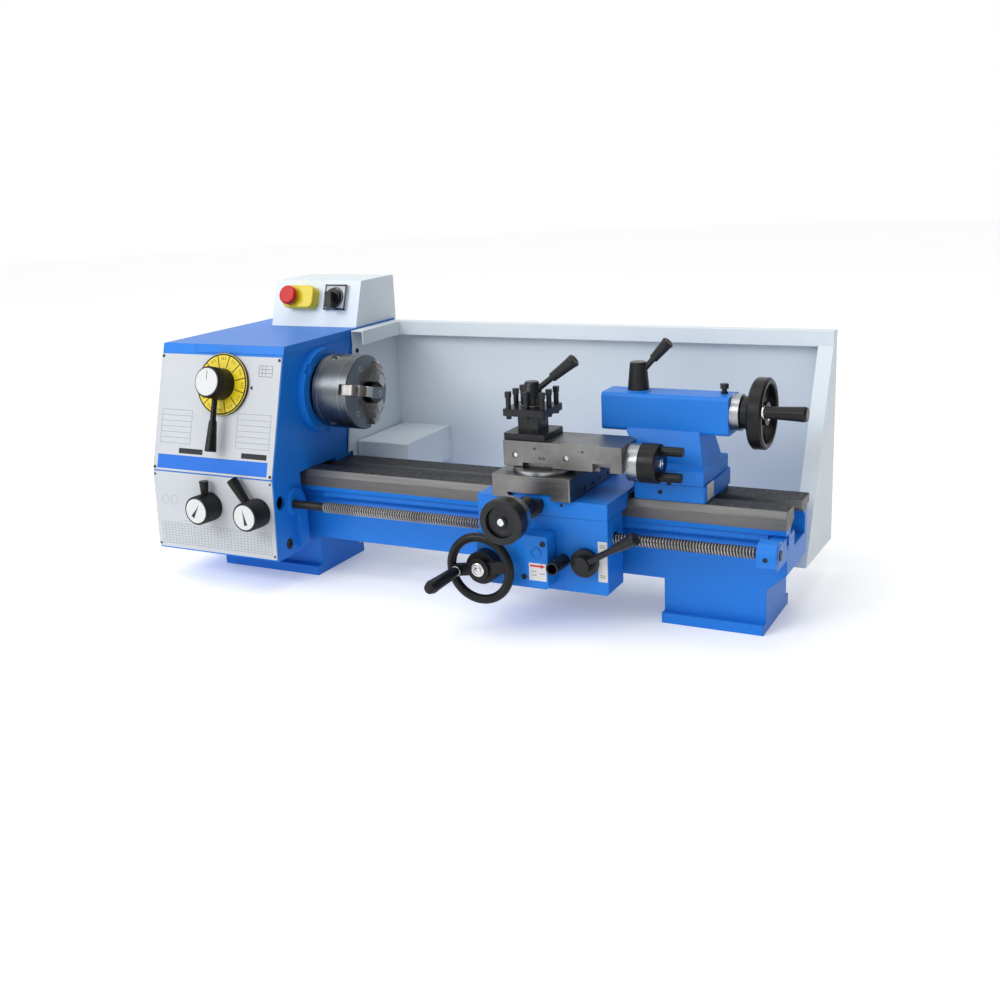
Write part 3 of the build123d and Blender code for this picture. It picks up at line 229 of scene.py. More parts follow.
yellow = plastic("yellow_plastic", (0.72, 0.56, 0.015), roughness=0.3)
white = plastic("white_plastic", (0.60, 0.61, 0.62), roughness=0.4)
ink = plastic("black_ink", (0.02, 0.02, 0.025), roughness=0.45, coat=0.0)
red_ink = plastic("red_ink", (0.62, 0.02, 0.02), roughness=0.45, coat=0.0)
blue_ink = plastic("blue_ink", (0.01, 0.14, 0.60), roughness=0.4, coat=0.1)
grey_ink = plastic("grey_ink", (0.30, 0.32, 0.35), roughness=0.5, coat=0.0)
pale = plastic("pale_label", (0.62, 0.63, 0.64), roughness=0.45, coat=0.0)
rubber = plastic("black_rubber", (0.02, 0.02, 0.02), roughness=0.7, coat=0.0)
plate = enamel("plate_paint", (0.50, 0.525, 0.56), (0.475, 0.50, 0.535),
               roughness=0.36, coat=0.1, edge=0.0005, grain=0.05)


def bed_material():
    """Blue enamel on the casting with the ways left as ground iron above a level line."""
    s = enamel("bed_enamel", BLUE, BLUE_DARK)
    split = s.add("ShaderNodeSeparateXYZ")
    s.link(s.place, split.inputs["Vector"])
    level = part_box("bed")[1][2] - 27.5 * MM
    bare = s.maths("GREATER_THAN", split.outputs["Z"], level)
    streaks = s.noise(60.0, 5.0, 0.6, vector=s.stretched((0.05, 1.0, 1.0)))
    iron = s.mix(s.steps(streaks, 0.3, 0.7), STEEL_DARK, STEEL)
    # the upward faces of the bare ways are darker, with a streaked pattern in the tone
    normal = s.add("ShaderNodeNewGeometry").outputs["Normal"]
    facing = s.add("ShaderNodeSeparateXYZ")
    s.link(normal, facing.inputs["Vector"])
    top = s.steps(facing.outputs["Z"], 0.9, 0.98)
    scraped = s.mix(s.steps(s.noise(260.0, 2.0, vector=s.stretched((1.0, 0.35, 1.0))), 0.42, 0.58),
                    tuple(0.35 * c for c in STEEL_DARK), tuple(0.6 * c for c in STEEL_DARK))
    iron = s.mix(top, iron, scraped)
    paint = s.shader.inputs["Base Color"].links[0].from_socket
    s.link(s.mix(bare, paint, iron), s.shader.inputs["Base Color"])
    rough = s.shader.inputs["Roughness"].links[0].from_socket
    s.link(s.maths("ADD", rough, s.maths("MULTIPLY", bare, 0.22)), s.shader.inputs["Roughness"])
    s.link(s.maths("MULTIPLY", bare, 0.85), s.shader.inputs["Metallic"])
    return s


def chuck_material():
    """Bright steel with the rings that turning leaves on the chuck's face."""
    s = steel("turned_steel", (0.17, 0.185, 0.20), (0.10, 0.11, 0.12), 0.26, along=(1.0, 0.06, 0.06))
    split = s.add("ShaderNodeSeparateXYZ")
    s.link(s.place, split.inputs["Vector"])
    across = s.maths("MULTIPLY", split.outputs["Y"], split.outputs["Y"])
    upward = s.maths("SUBTRACT", split.outputs["Z"], centre("chuck_body").z * MM)
    radius = s.maths("SQRT", s.maths("ADD", across, s.maths("MULTIPLY", upward, upward)))
    rings = s.maths("SINE", s.maths("MULTIPLY", radius, 5200.0))
    s.round_edges(0.0006, rings, strength=0.12, distance=0.0002)
    return s


bed_paint = bed_material()
turned = chuck_material()

NODE_LOOKS = {
    blue: ("headstock_casting", "headstock_lid", "gear_cover", "spindle_ring", "leadscrew_bracket", "saddle",
           "apron", "apron_cover", "tailstock_base", "tailstock_body", "rack"),
    bed_paint: ("bed",),
    grey: ("electrical_box", "splash_guard", "rear_cover"),
    motor: ("motor_body",),
    ground: ("cross_slide", "swivel_base", "top_slide"),
    bright: ("spindle_bearings", "spindle_shaft", "chuck_jaw_1", "chuck_jaw_2", "chuck_jaw_3", "quill"),
    turned: ("chuck_body",),
    screw_steel: ("chuck_pinions", "chuck_scroll", "motor_rotor", "idler_gear",
                  "tailstock_clamp"),
    # painted shade: the leadscrew core stands for the shade between its threads
    thread_shade_steel: ("leadscrew",),
    satin: ("cross_dial", "top_slide_dial", "tail_dial"),
    oxide: ("spindle_pulley", "screw_bracket", "way_wipers", "half_nut_lever", "feed_knob", "cross_wheel",
            "tool_post", "tool_post_lever", "quill_lever"),
    black: ("speed_lever", "left_selector", "right_selector", "switch_knob", "carriage_wheel",
            "carriage_grip", "top_slide_wheel", "tail_wheel", "tail_grip"),
    red: ("stop_button",),
    yellow: ("stop_base", "speed_disc"),
    plate: ("control_plate_upper", "control_plate_lower", "switch_plate"),
    rubber: ("drive_belt",),
}
for look, names in NODE_LOOKS.items():
    for name in names:
        mesh = nodes[name].data
        mesh.materials.clear()
        mesh.materials.append(look.material)


class Drawing:
    """A mesh made of turned profiles and extruded outlines."""

    def __init__(self):
        self.work = bmesh.new()

    def turned(self, at, profile, steps=40):
        """Points (radius, height) turned round a frame's z axis."""
        rings = []
        for radius, height in profile:
            count = steps if radius else 1
            angles = [2 * math.pi * k / steps for k in range(count)]
            rings.append([
                self.work.verts.new(at @ Vector((radius * math.cos(t), radius * math.sin(t), height)))
                for t in angles
            ])
        for low, high in zip(rings, rings[1:]):
            for k in range(steps):
                corners = [low[k % len(low)], low[(k + 1) % len(low)],
                           high[(k + 1) % len(high)], high[k % len(high)]]
                corners = list(dict.fromkeys(corners))
                if len(corners) > 2:
                    self.work.faces.new(corners)

    def outline(self, at, points, low, high):
        """A flat outline raised from one height to another over a frame."""
        base = [self.work.verts.new(at @ Vector((x, y, low))) for x, y in points]
        top = [self.work.verts.new(at @ Vector((x, y, high))) for x, y in points]
        self.work.faces.new(list(reversed(base)))
        self.work.faces.new(top)
        for k in range(len(points)):
            n = (k + 1) % len(points)
            self.work.faces.new((base[k], base[n], top[n], top[k]))

    def patch(self, at, x, y, low, high):
        self.outline(at, ((x[0], y[0]), (x[1], y[0]), (x[1], y[1]), (x[0], y[1])), low, high)

    def ray(self, at, angle, reach, width, low, high):
        """A bar that runs outwards from a frame's z axis."""
        turned_at = at @ Matrix.Rotation(math.radians(angle), 4, "Z")
        self.patch(turned_at, reach, (-width / 2, width / 2), low, high)

    def piece(self, name, look, body, smooth=35):
        """The drawing as an object with a material, riding a body."""
        bmesh.ops.recalc_face_normals(self.work, faces=self.work.faces)
        bmesh.ops.transform(self.work, matrix=Matrix.Scale(MM, 4), verts=self.work.verts)
        mesh = bpy.data.meshes.new(name)
        self.work.to_mesh(mesh)
        self.work.free()
        mesh.materials.append(look.material)
        mesh.shade_smooth()
        mesh.set_sharp_from_angle(angle=math.radians(smooth))
        thing = bpy.data.objects.new(name, mesh)
        bpy.context.scene.collection.objects.link(thing)
        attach(thing, body)
        return thing


def disc_profile(radius, low, high, round_off=0.6):
    return ((0, low), (radius, low), (radius, high - round_off), (radius - round_off, high), (0, high))


def screws(name, look, body, away, spots, radius, rise=1.6, sink=0.5):
    """Socket-head screws: a rounded head with a round socket sunk in it."""
    drawing = Drawing()
    for spot in spots:
        at = frame_at(spot, away, X if abs(Vector(away).x) < 0.9 else Y)
        drawing.turned(at, ((radius, -sink), (radius, rise - 0.5), (radius - 0.5, rise),
                            (radius * 0.55, rise), (radius * 0.5, rise - 0.9), (0, rise - 0.9)), 24)
    drawing.piece(name, look, body)


def graduations(name, body, at, radius, low, high, count=60, look=ink):
    """Fine lines round a dial's rim, every fifth one longer."""
    drawing = Drawing()
    for k in range(count):
        reach = 1.0 if k % 10 == 0 else 0.75 if k % 5 == 0 else 0.5
        line = at @ Matrix.Rotation(2 * math.pi * k / count, 4, "Z") @ Matrix.Translation((radius, 0, 0))
        drawing.outline(line, ((-0.3, -0.22), (0.12, -0.22), (0.12, 0.22), (-0.3, 0.22)),
                        low, low + reach * (high - low))
    drawing.piece(name, look, body)


def ribs(name, body, at, radius, low, high, count=44, look=black):
    """Grooved edge of a moulded knob."""
    drawing = Drawing()
    for k in range(count):
        line = at @ Matrix.Rotation(2 * math.pi * k / count, 4, "Z") @ Matrix.Translation((radius, 0, 0))
        drawing.outline(line, ((-1.2, -0.9), (0.5, -0.7), (0.8, 0), (0.5, 0.7), (-1.2, 0.9)), low, high)
    drawing.piece(name, look, body)


# ---- headstock plates and controls --------------------------------------------------------------
PLATE_T, PRINT_T = 1.5, 0.12
dial = joint_frame("speed_selector_turn")
left_knob = joint_frame("feed_selector_left_turn")
right_knob = joint_frame("feed_selector_right_turn")
switch = joint_frame("switch_knob_turn")
TOP = (PLATE_T, PLATE_T + PRINT_T)

drawing = Drawing()
for x, y in ((-135, -147), (110, -147), (-135, 44), (110, 44)):
    drawing.turned(dial @ Matrix.Translation((x, y, 0)), disc_profile(2.6, PLATE_T - 0.5, PLATE_T + 1.2), 20)
for x, y in ((-118, -76), (127, -76), (-118, 47), (127, 47)):
    drawing.turned(left_knob @ Matrix.Translation((x, y, 0)),
                   disc_profile(2.0, PLATE_T - 0.5, PLATE_T + 1.0), 20)
drawing.piece("plate_rivets", oxide, "frame")

drawing = Drawing()
drawing.patch(dial, (-130, 103), (-148, -124), *TOP)
drawing.piece("plate_bands", blue_ink, "frame")

drawing = Drawing()
drawing.patch(dial, (-85, -34), (-120.5, -111.5), *TOP)
drawing.patch(dial, (48, 100), (-120.5, -111.5), *TOP)
drawing.outline(dial, ((54, -3), (60, -7), (60, 1)), *TOP)
for row in range(4):
    drawing.patch(dial, (70, 98), (16 + 6 * row, 16.5 + 6 * row), *TOP)
for x in (70, 77, 84, 97.5):
    drawing.patch(dial, (x, x + 0.5), (16, 34.5), *TOP)
drawing.piece("plate_marks", ink, "frame")

drawing = Drawing()
LINE = 0.6
for side, (x0, x1) in enumerate(((-128, -62), (34, 103))):
    for row in range(7):
        y = -104 + row * 9.5
        drawing.patch(dial, (x0, x1), (y, y + LINE), *TOP)
    for x in (x0, x1 - LINE):
        drawing.patch(dial, (x, x + LINE), (-104, -47), *TOP)
for row in range(9):
    drawing.patch(left_knob, (-112, 122), (-74 + row * 4.6, -73.55 + row * 4.6), *TOP)
for column in range(34):
    x = -112 + column * 7.08
    drawing.patch(left_knob, (x, x + 0.4), (-74, -37.2), *TOP)
for x in (-100, -80):
    drawing.turned(left_knob @ Matrix.Translation((x, 4, 0)),
                   ((8.0, TOP[0]), (8.0, TOP[1]), (7.4, TOP[1]), (7.4, TOP[0])), 32)
for x0 in (-70, 40):
    for k in range(4):
        drawing.patch(left_knob, (x0 + 6 * k, x0 + 6 * k + 3), (-31 - 0.6, -31), *TOP)
drawing.piece("plate_tables", grey_ink, "frame")

DISC_TOP, DISC_R, HUB_TOP = 7.7, 52.0, 45.7
drawing = Drawing()
drawing.turned(dial, ((DISC_R - 3.4, DISC_TOP - 0.3), (DISC_R - 3.4, DISC_TOP + 0.25),
                      (DISC_R - 1.2, DISC_TOP + 0.25),
                      (DISC_R + 0.2, DISC_TOP - 1.4), (DISC_R + 0.2, 1.8)), 96)
for k in range(12):
    drawing.ray(dial, 15 + 30 * k, (28.5, DISC_R - 2), 1.5, DISC_TOP - 0.2, DISC_TOP + 0.15)
drawing.piece("speed_disc_lines", ink, "frame")
drawing = Drawing()
for k in range(12):
    for j in range(3):
        drawing.ray(dial, 25 + 5 * j + 30 * k, (40.5, 45.5), 0.9, DISC_TOP - 0.2, DISC_TOP + 0.12)
drawing.piece("speed_disc_ticks", ink, "frame")

ribs("speed_hub_ribs", "speed_selector", dial, 25.6, 9.0, 43.5, 48)
drawing = Drawing()
drawing.turned(dial, disc_profile(22.8, HUB_TOP - 0.4, HUB_TOP + 0.9), 64)
drawing.piece("speed_hub_cap", white, "speed_selector")
drawing = Drawing()
drawing.patch(dial, (-0.5, 0.5), (4, 19), HUB_TOP + 0.8, HUB_TOP + 1.0)
drawing.piece("speed_hub_mark", ink, "speed_selector")

KNOB_TOP = 40.0
for word, at, lean in (("left", left_knob, -34), ("right", right_knob, 12)):
    body = f"feed_selector_{word}"
    ribs(f"{word}_selector_ribs", body, at, 23.6, 4.0, 37.0, 44)
    drawing = Drawing()
    drawing.turned(at, disc_profile(20.8, KNOB_TOP - 0.4, KNOB_TOP + 0.5), 64)
    drawing.piece(f"{word}_selector_face", white, body)
    drawing = Drawing()
    needle = at @ Matrix.Rotation(math.radians(lean), 4, "Z")
    drawing.outline(needle, ((-3.4, -13), (3.4, -13), (1.6, -2), (0, 14), (-1.6, -2)),
                    KNOB_TOP + 0.3, KNOB_TOP + 0.7)
    drawing.piece(f"{word}_selector_pointer", ink, body)

# ---- switch box ---------------------------------------------------------------------------------
drawing = Drawing()
EDGE = 23.0
for x, y in (((-EDGE, EDGE), (EDGE - 3, EDGE)), ((-EDGE, EDGE), (-EDGE, 3 - EDGE)),
             ((-EDGE, 3 - EDGE), (-EDGE, EDGE)), ((EDGE - 3, EDGE), (-EDGE, EDGE))):
    drawing.patch(switch, x, y, 5.6, 6.3)
drawing.turned(switch, ((16, 5.8), (16, 6.4), (18, 6.4), (18, 5.8)), 48)
drawing.piece("switch_plate_rim", oxide, "frame")
drawing = Drawing()
drawing.ray(switch, -80, (4, 22), 1.6, 22.2, 22.6)
drawing.piece("switch_knob_mark", white, "switch_knob")

# ---- lead screw thread --------------------------------------------------------------------------
THREAD_PITCH, THREAD_RISE, THREAD_STEPS, THREAD_ROUND = 4.5, 1.3, 8, 20
screw_y, screw_z = (Vector(JOINTS["lead_screw_turn"]["pos_m"]) / MM).yz
SCREW_R = 8.0
thread_from, thread_to = -221.0, box("leadscrew_bracket")[0].x - 3
drawing = Drawing()
rows = []
for i in range(int((thread_to - thread_from) / THREAD_PITCH * THREAD_STEPS) + 1):
    x = thread_from + i * THREAD_PITCH / THREAD_STEPS
    row = []
    for k in range(THREAD_ROUND):
        turn_at = 2 * math.pi * k / THREAD_ROUND
        phase = (x / THREAD_PITCH - k / THREAD_ROUND) % 1.0
        r = SCREW_R - 0.35 + THREAD_RISE * max(0.0, min(1.0, 1.6 - 5.0 * abs(phase - 0.5)))
        point = (x, screw_y + r * math.cos(turn_at), screw_z + r * math.sin(turn_at))
        row.append(drawing.work.verts.new(point))
    rows.append(row)
for low, high in zip(rows, rows[1:]):
    for k in range(THREAD_ROUND):
        n = (k + 1) % THREAD_ROUND
        drawing.work.faces.new((low[k], low[n], high[n], high[k]))
drawing.piece("leadscrew_thread", screw_steel, "lead_screw", smooth=60)

# ---- chuck and spindle --------------------------------------------------------------------------
chuck_low, chuck_high = box("chuck_body")
spindle = frame_at((chuck_high.x, 0, centre("chuck_body").z), X, Y)
drawing = Drawing()
for k in range(3):
    mark = spindle @ Matrix.Rotation(math.radians(106 + 120 * k), 4, "Z")
    drawing.turned(mark @ Matrix.Translation((43, 0, 0)),
                   ((5.2, -0.4), (5.2, 0.25), (4.6, 0.3), (3.4, 0.3), (3.2, -0.2), (0, -0.2)), 28)
drawing.piece("chuck_face_screws", screw_steel, "spindle")
drawing = Drawing()
ring_at = frame_at((chuck_low.x, 0, spindle.translation.z), X, Y)
chuck_r = (chuck_high.z - chuck_low.z) / 2
for height in (9, 50):
    drawing.turned(ring_at, ((chuck_r - 0.5, height), (chuck_r + 0.12, height + 0.1),
                             (chuck_r + 0.12, height + 0.9), (chuck_r - 0.5, height + 1.0)), 128)
drawing.piece("chuck_body_grooves", screw_steel, "spindle")
JAW_STEPS = 4
for number, angle in ((1, 166), (2, 46), (3, -74)):
    drawing = Drawing()
    line = spindle @ Matrix.Rotation(math.radians(angle), 4, "Z")
    for k in range(JAW_STEPS):
        for r0, level in ((33, 15), (46, 8)):
            drawing.patch(line, (r0 + 2.4 * k, r0 + 2.4 * k + 1.2), (-8.4, 8.4), level - 0.4, level + 0.7)
    drawing.piece(f"chuck_jaw_{number}_serration", bright, f"jaw_{number}")

drawing = Drawing()
drawing.turned(frame_at((-292.0, -129, 74.5), X, Y),
               ((8.6, -2.2), (8.6, -0.6), (7.4, 0.8), (4.4, 0.8), (4.0, -1.0), (0, -1.0)), 28)
drawing.piece("drain_plug", oxide, "frame")

# ---- carriage -----------------------------------------------------------------------------------
apron_front = box("apron")[0].y
cover_low = box("apron_cover")[0]
FRONT = -Y
wheel = frame_at(Vector(JOINTS["carriage_wheel_turn"]["pos_m"]) / MM, FRONT)
front_of_cover = frame_at((0, cover_low.y, 0), FRONT)
drawing = Drawing()
drawing.patch(front_of_cover, (177, 205), (84, 111), -0.3, 0.25)
drawing.patch(frame_at((0, apron_front, 0), FRONT), (273, 287.6), (81.4, 143), -0.3, 0.25)
drawing.piece("apron_labels", pale, "carriage")
drawing = Drawing()
arrow = ((179, 105.2), (196, 105.2), (196, 103.4), (203.5, 106.6), (196, 109.8), (196, 108), (179, 108))
drawing.outline(front_of_cover, arrow, 0.2, 0.4)
drawing.piece("apron_arrow", red_ink, "carriage")
drawing = Drawing()
for x, z, w in ((181, 98, 8), (181, 92, 8), (193, 95, 9)):
    drawing.patch(front_of_cover, (x, x + w), (z, z + 0.7), 0.2, 0.35)
for z in (88, 91, 134, 137):
    drawing.patch(frame_at((0, apron_front, 0), FRONT), (276, 284.6), (z, z + 0.8), 0.2, 0.35)
drawing.piece("apron_label_lines", ink, "carriage")
drawing = Drawing()
drawing.turned(front_of_cover @ Matrix.Translation((189, 126.8, 0)),
               ((8.6, -0.5), (8.6, 1.0), (7.8, 1.5), (6.6, 1.5), (6.2, 0.3), (0, 0.3)), 40)
drawing.piece("apron_sight_ring", blue, "carriage")
screws("apron_cover_screws", oxide, "carriage", FRONT,
       [(200.2, cover_low.y, 141), (169, cover_low.y, 88)], 4.2)
cross_low, cross_high = box("cross_slide")
screws("cross_slide_front_screws", oxide, "cross_slide", FRONT,
       [(x, cross_low.y, cross_low.z + 7) for x in (cross_low.x + 14, cross_high.x - 14)], 2.4, rise=0.6)
screws("wiper_screws", chrome, "carriage", X,
       [(box("way_wipers")[1].x, y, 191.6) for y in (-45, 47)], 2.4, rise=0.5)

cross = frame_at(Vector(JOINTS["cross_wheel_turn"]["pos_m"]) / MM, FRONT)
cross_face = frame_at((cross.translation.x, box("cross_wheel")[0].y, cross.translation.z), FRONT)
drawing = Drawing()
drawing.turned(cross_face, ((23.4, -6.4), (22.4, -5.2), (16, -4.9), (15, -5.6), (11, -5.6), (10, -4.6),
                            (7.6, -4.6), (7.6, -2.2), (6.4, -1.6), (2.8, -1.6), (2.4, -2.6), (0, -2.6)), 64)
drawing.piece("cross_wheel_web", oxide, "cross_wheel")
drawing = Drawing()
drawing.turned(cross_face, ((5.2, -1.9), (5.2, -0.6), (4.4, -0.1), (2.6, -0.1), (2.2, -0.9), (0, -0.9)), 24)
drawing.piece("cross_wheel_screw", chrome, "cross_wheel")
dial_low, dial_high = box("cross_dial")
graduations("cross_dial_lines", "cross_wheel",
            frame_at((cross.translation.x, dial_low.y, cross.translation.z), Y),
            (dial_high.x - dial_low.x) / 2, 0.6, 8.5, 80)
drawing = Drawing()
drawing.turned(wheel, ((10.5, 7.4), (10.5, 9.2), (9.4, 10.0), (7.4, 10.0), (7.0, 8.6), (5.4, 8.6),
                       (5.0, 10.6), (2.6, 11.0), (2.2, 9.4), (0, 9.4)), 40)
drawing.piece("carriage_wheel_nut", chrome, "carriage_wheel")
grip_high = box("carriage_grip")[1]
grip_at = Vector(JOINTS["carriage_grip_turn"]["pos_m"]) / MM
drawing = Drawing()
drawing.turned(frame_at((grip_at.x, grip_high.y, grip_at.z), FRONT),
               ((7.6, -1.2), (7.9, -0.6), (7.9, 1.2), (7.4, 1.7), (7.2, 1.7)), 32)
drawing.piece("carriage_grip_collar", chrome, "carriage_grip")
knob_low, knob_high = box("feed_knob")
drawing = Drawing()
drawing.turned(frame_at((centre("feed_knob").x, knob_low.y, centre("feed_knob").z), FRONT),
               disc_profile((knob_high.x - knob_low.x) / 2 - 2.0, -0.5, 0.0, 0.3), 32)
drawing.piece("feed_knob_face", pale, "feed_knob")

# ---- swivel and top slide -----------------------------------------------------------------------
swivel = frame_at((*(Vector(JOINTS["swivel_turn"]["pos_m"]) / MM).xy, cross_high.z), Z)
swivel_r = (box("swivel_base")[1].y - box("swivel_base")[0].y) / 2
drawing = Drawing()
drawing.turned(swivel, ((swivel_r - 0.6, 0.5), (swivel_r + 0.35, 0.7), (swivel_r + 0.35, 5.6),
                        (swivel_r - 0.6, 5.9)), 96)
drawing.piece("swivel_scale", satin, "swivel")
graduations("swivel_scale_lines", "swivel", swivel, swivel_r + 0.35, 1.2, 5.2, 90)
slide_low, slide_high = box("top_slide")
screws("top_slide_gib_screws", chrome, "top_slide", FRONT,
       [(x, slide_low.y + 3.0, 258.5) for x in (138, 220)], 3.6, rise=1.4, sink=1.0)
screws("top_slide_small_screws", oxide, "top_slide", FRONT,
       [(x, slide_low.y, z) for x, z in ((170, 270), (178, 256), (184, 256), (246, 270))], 2.2, rise=0.5)
drawing = Drawing()
axis = Vector(JOINTS["top_slide_wheel_turn"]["pos_m"]) / MM
face_x = slide_high.x + 45.2
drawing.turned(frame_at((face_x, axis.y, axis.z), X, Y),
               ((8.0, -0.6), (8.0, 1.4), (7.0, 2.0), (3.4, 2.0), (3.0, 0.6), (0, 0.6)), 32)
drawing.piece("top_slide_wheel_screw", chrome, "top_slide_wheel")
dial_low, dial_high = box("top_slide_dial")
graduations("top_slide_dial_lines", "top_slide_wheel", frame_at((dial_low.x, axis.y, axis.z), X, Y),
            (dial_high.z - dial_low.z) / 2, 0.6, 8.0, 60)

# ---- levers' grips ------------------------------------------------------------------------------
def grip_rings(name, look, body, start, along, radii, steps):
    """Raised rings and a domed end on a tapered grip."""
    drawing = Drawing()
    at = frame_at(start, along, Y)
    length = Vector(along).length
    profile = [(0.0, -0.2), (radii[0] * 0.86, -0.2), (radii[0] + 0.3, 1.0), (radii[0] + 0.3, 3.0),
               (radii[0] - 0.2, 3.6)]
    drawing.turned(at, profile, steps)
    end = radii[1]
    drawing.turned(at, ((end - 0.3, length - 3.0), (end + 0.35, length - 2.2), (end + 0.2, length - 0.2),
                        (end - 1.2, length + 1.0), (end * 0.45, length + 1.2), (end * 0.4, length + 0.4),
                        (0, length + 0.4)), steps)
    drawing.piece(name, look, body)


post_axis = Vector(JOINTS["tool_post_lever_turn"]["pos_m"]) / MM
unit_run = Vector((36, 0, 27)).normalized()
grip_rings("tool_post_lever_ends", oxide, "tool_post_lever", (post_axis.x + 34, post_axis.y, 369.5),
           44 * unit_run, (7.0, 9.5), 28)
lever_axis = Vector(JOINTS["quill_lever_turn"]["pos_m"]) / MM
grip_rings("quill_lever_ends", oxide, "quill_lever", (lever_axis.x + 24, lever_axis.y, 386),
           34 * Vector((22, 0, 24)).normalized(), (6.8, 9.0), 28)
nut_axis = Vector(JOINTS["half_nut_lever_turn"]["pos_m"]) / MM
grip_rings("half_nut_lever_ends", oxide, "half_nut_lever", (nut_axis.x + 50, -165, nut_axis.z + 30),
           42 * Vector((84, -8, 50)).normalized(), (6.0, 9.5), 28)
drawing = Drawing()
drawing.turned(frame_at((nut_axis.x, -167.5, nut_axis.z), FRONT),
               ((12.6, -0.4), (12.6, 0.3), (12.0, 0.7), (4.0, 0.7), (3.6, 0.1), (0, 0.1)), 40)
drawing.piece("half_nut_lever_face", oxide, "half_nut_lever")
drawing = Drawing()
drawing.turned(frame_at((post_axis.x, post_axis.y, box("tool_post")[1].z - 25.4), Z),
               ((16.8, 0.4), (18.2, 0.6), (18.2, 2.6), (16.8, 3.0)), 48)
drawing.piece("tool_post_lever_ring", screw_steel, "tool_post_lever")

# ---- tailstock ----------------------------------------------------------------------------------
drawing = Drawing()
drawing.turned(frame_at((lever_axis.x, lever_axis.y, box("tailstock_body")[1].z), Z),
               ((16.4, -0.4), (19.6, -0.3), (19.6, 0.4), (18.0, 1.6), (16.7, 1.8)), 48)
drawing.piece("quill_lever_base", blue, "tailstock")
tail = Vector(JOINTS["tail_wheel_turn"]["pos_m"]) / MM
hub_face = frame_at((480.0, tail.y, tail.z), X, Y)
drawing = Drawing()
drawing.turned(hub_face, ((10.0, -0.5), (10.0, 1.6), (8.8, 2.4), (6.8, 2.4), (6.4, 1.0), (4.8, 1.0),
                          (4.4, 3.0), (2.4, 3.3), (2.0, 1.8), (0, 1.8)), 40)
drawing.piece("tail_wheel_nut", chrome, "tail_wheel")
dial_low, dial_high = box("tail_dial")
graduations("tail_dial_lines", "tail_wheel", frame_at((dial_low.x, tail.y, tail.z), X, Y),
            (dial_high.z - dial_low.z) / 2, 0.6, 7.5, 50)
tail_low = box("tail_grip")[0]
grip_at = Vector(JOINTS["tail_grip_turn"]["pos_m"]) / MM
drawing = Drawing()
drawing.turned(frame_at((tail_low.x, grip_at.y, grip_at.z), X, Y),
               ((8.9, -0.3), (9.3, 0.2), (9.3, 2.0), (8.8, 2.6)), 32)
drawing.piece("tail_grip_collar", chrome, "tail_grip")
base_high = box("tailstock_base")[1]
SOLE_Z = 208.0
screws("tailstock_base_screws", oxide, "tailstock", FRONT,
       [(352.0, -60.0, 214.5), (338.0, -60.0, 200.0)], 3.4, rise=1.0)
drawing = Drawing()
drawing.patch(frame_at((base_high.x, 0, 0), X, Y), (-52, -22), (SOLE_Z - 18, SOLE_Z + 6), -0.3, 0.25)
drawing.piece("tailstock_scale", pale, "tailstock")
drawing = Drawing()
drawing.turned(frame_at((box("quill")[0].x, 0, tail.z), -X, Y),
               ((16.2, -0.7), (18.5, -0.4), (19.5, 0.1), (17.0, 0.4), (16.2, 0.3)), 64)
drawing.piece("quill_wiper", oxide, "tailstock")
drawing = Drawing()
body_high = box("tailstock_body")[1]
drawing.turned(frame_at((body_high.x - 16, 6, body_high.z - 1), Z),
               ((5.5, -0.5), (5.5, 4.0), (4.0, 4.6), (4.0, 8.0), (6.6, 8.4), (6.6, 15.0), (5.8, 15.8),
                (0, 15.8)), 6)
drawing.piece("tailstock_lock_screw", oxide, "tailstock")

# ---- bed, brackets and guard --------------------------------------------------------------------
BED_FRONT = -58.0
screws("bed_screws", oxide, "frame", FRONT,
       [(x, BED_FRONT, 145) for x in (-262, -240, 446, 480)], 3.6)
screws("bracket_screws", oxide, "frame", FRONT, [(515.0, screw_y - 20.4, screw_z - 2)], 3.4, rise=1.2)
drawing = Drawing()
drawing.turned(frame_at((box("leadscrew_bracket")[1].x, screw_y, screw_z), X, Y),
               ((16, -0.6), (16, 0.4), (15, 0.9), (8.2, 0.9), (8.0, 0.2)), 48)
drawing.piece("bracket_ring", blue, "frame")
guard_low, guard_high = box("splash_guard")
screws("guard_screw", oxide, "frame", X, [(guard_low.x + 2, 109, 362)], 4.2)
box_low, box_high = box("electrical_box")
drawing = Drawing()
clip = frame_at(((box_low.x + box_high.x) / 2, box_high.y - 60, box_high.z), Z)
drawing.patch(clip, (-9, 9), (-4, 4), -0.4, -0.1)
drawing.piece("box_clip", pale, "frame")
# painted shade: the seven vent slots are flat black patches standing for the shade inside the openings
vent_shade = Drawing()
for k in range(7):
    vent = frame_at((-232.0, guard_high.y, 150 + 8 * k), Y)
    vent_shade.outline(vent, ((-30, -1.5), (30, -1.5), (31, 0), (30, 1.5), (-30, 1.5), (-31, 0)), -0.3, 0.5)
vent_shade.piece("rear_vent_painted_shade", ink, "frame")

# ---- floor, light and camera --------------------------------------------------------------------
floor_mesh = bpy.data.meshes.new("floor")
work = bmesh.new()
bmesh.ops.create_circle(work, cap_ends=True, segments=96, radius=9.0)
work.to_mesh(floor_mesh)
work.free()
floor = bpy.data.objects.new("floor", floor_mesh)
bpy.context.scene.collection.objects.link(floor)
floor_look = Shader("floor_paper", (0.92, 0.92, 0.92), 0.9)
floor_look.set("Emission Color", (1.0, 1.0, 1.0, 1.0))
floor_look.set("Emission Strength", 0.22)
floor_look.link(
    floor_look.mix(floor_look.steps(floor_look.noise(3.0), 0.3, 0.7), (0.92, 0.92, 0.92), (0.94, 0.94, 0.94)),
    floor_look.shader.inputs["Base Color"],
)
floor_mesh.materials.append(floor_look.material)

world = bpy.data.worlds.new("studio")
bpy.context.scene.world = world
world.use_nodes = True
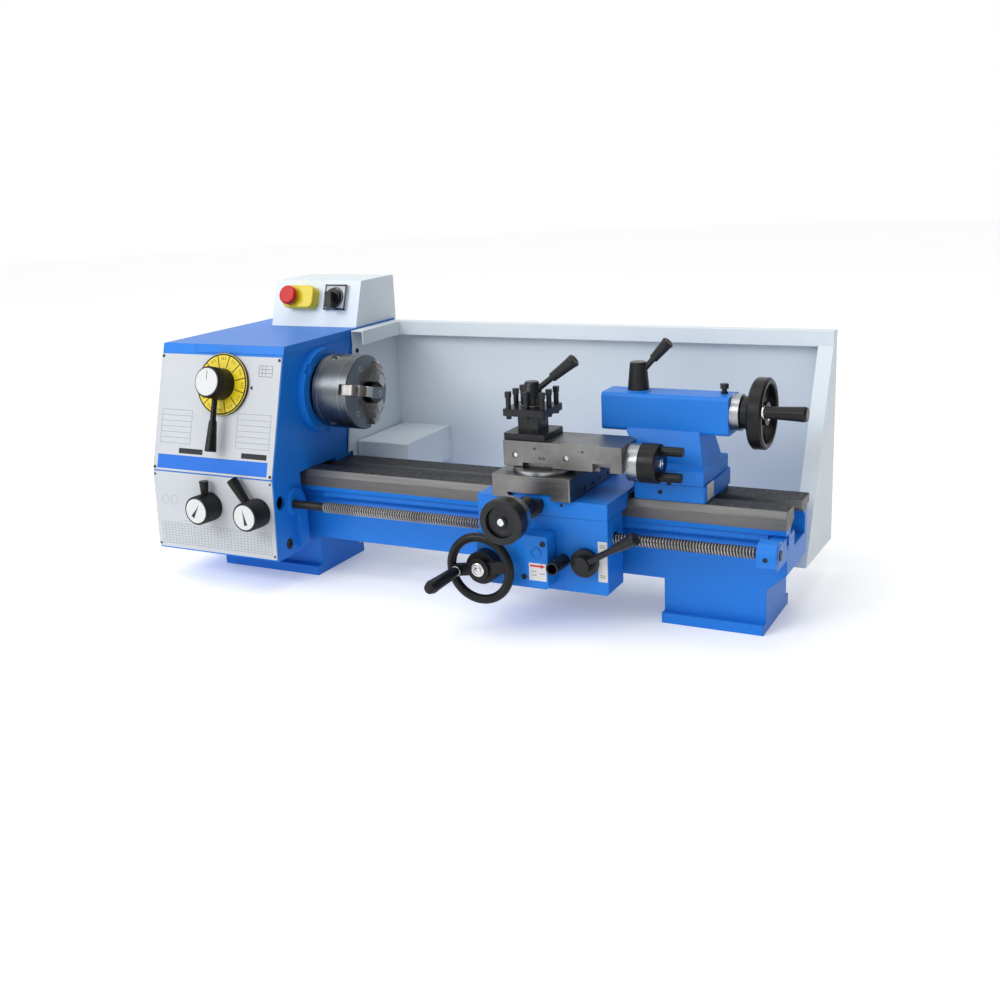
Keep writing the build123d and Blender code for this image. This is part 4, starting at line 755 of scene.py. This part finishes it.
# the studio is white in front and at the sides, and dimmer to the right, where the ends of the castings face
tree = world.node_tree
split = tree.nodes.new("ShaderNodeSeparateXYZ")
tree.links.new(tree.nodes.new("ShaderNodeTexCoord").outputs["Generated"], split.inputs["Vector"])
dim = tree.nodes.new("ShaderNodeMapRange")
for socket, value in (("From Min", 0.05), ("From Max", 0.75), ("To Min", 1.0), ("To Max", 0.22)):
    dim.inputs[socket].default_value = value
tree.links.new(split.outputs["X"], dim.inputs["Value"])
tree.links.new(dim.outputs["Result"], tree.nodes["Background"].inputs["Strength"])
tree.nodes["Background"].inputs["Color"].default_value = (1.0, 1.0, 1.0, 1)


def softbox(name, place, target, size, power):
    light = bpy.data.lights.new(name, "AREA")
    light.shape = "RECTANGLE"
    light.size, light.size_y = size
    light.energy = power
    lamp = bpy.data.objects.new(name, light)
    bpy.context.scene.collection.objects.link(lamp)
    lamp.location = place
    lamp.rotation_euler = (Vector(target) - Vector(place)).to_track_quat("-Z", "Y").to_euler()


softbox("key", (-1.5, -2.6, 2.0), (0, 0, 0.25), (2.0, 1.4), 48)
softbox("top", (0.2, -0.3, 2.9), (0, 0, 0.2), (2.0, 1.2), 14)

CAMERA_AZIMUTH, CAMERA_ELEVATION, CAMERA_ROLL = 27.58, 16.01, -2.71
CAMERA_DISTANCE, CAMERA_TARGET, CAMERA_LENS = 1.9, Vector((0.0728, -0.0600, 0.1640)), 43.52
a, e, r = (math.radians(v) for v in (CAMERA_AZIMUTH, CAMERA_ELEVATION, CAMERA_ROLL))
ahead = Vector((-math.sin(a) * math.cos(e), math.cos(a) * math.cos(e), -math.sin(e)))
side = Vector((math.cos(a), math.sin(a), 0))
up = side.cross(ahead)
right = math.cos(r) * side + math.sin(r) * up
above = math.cos(r) * up - math.sin(r) * side
camera = bpy.data.objects.new("camera", bpy.data.cameras.new("camera"))
camera.data.lens = CAMERA_LENS
camera.data.clip_end = 50
bpy.context.scene.collection.objects.link(camera)
camera.matrix_world = Matrix.Translation(CAMERA_TARGET - CAMERA_DISTANCE * ahead) @ Matrix(
    (right, above, -ahead)
).transposed().to_4x4()
bpy.context.scene.camera = camera
bpy.context.scene.view_settings.view_transform = "Standard"
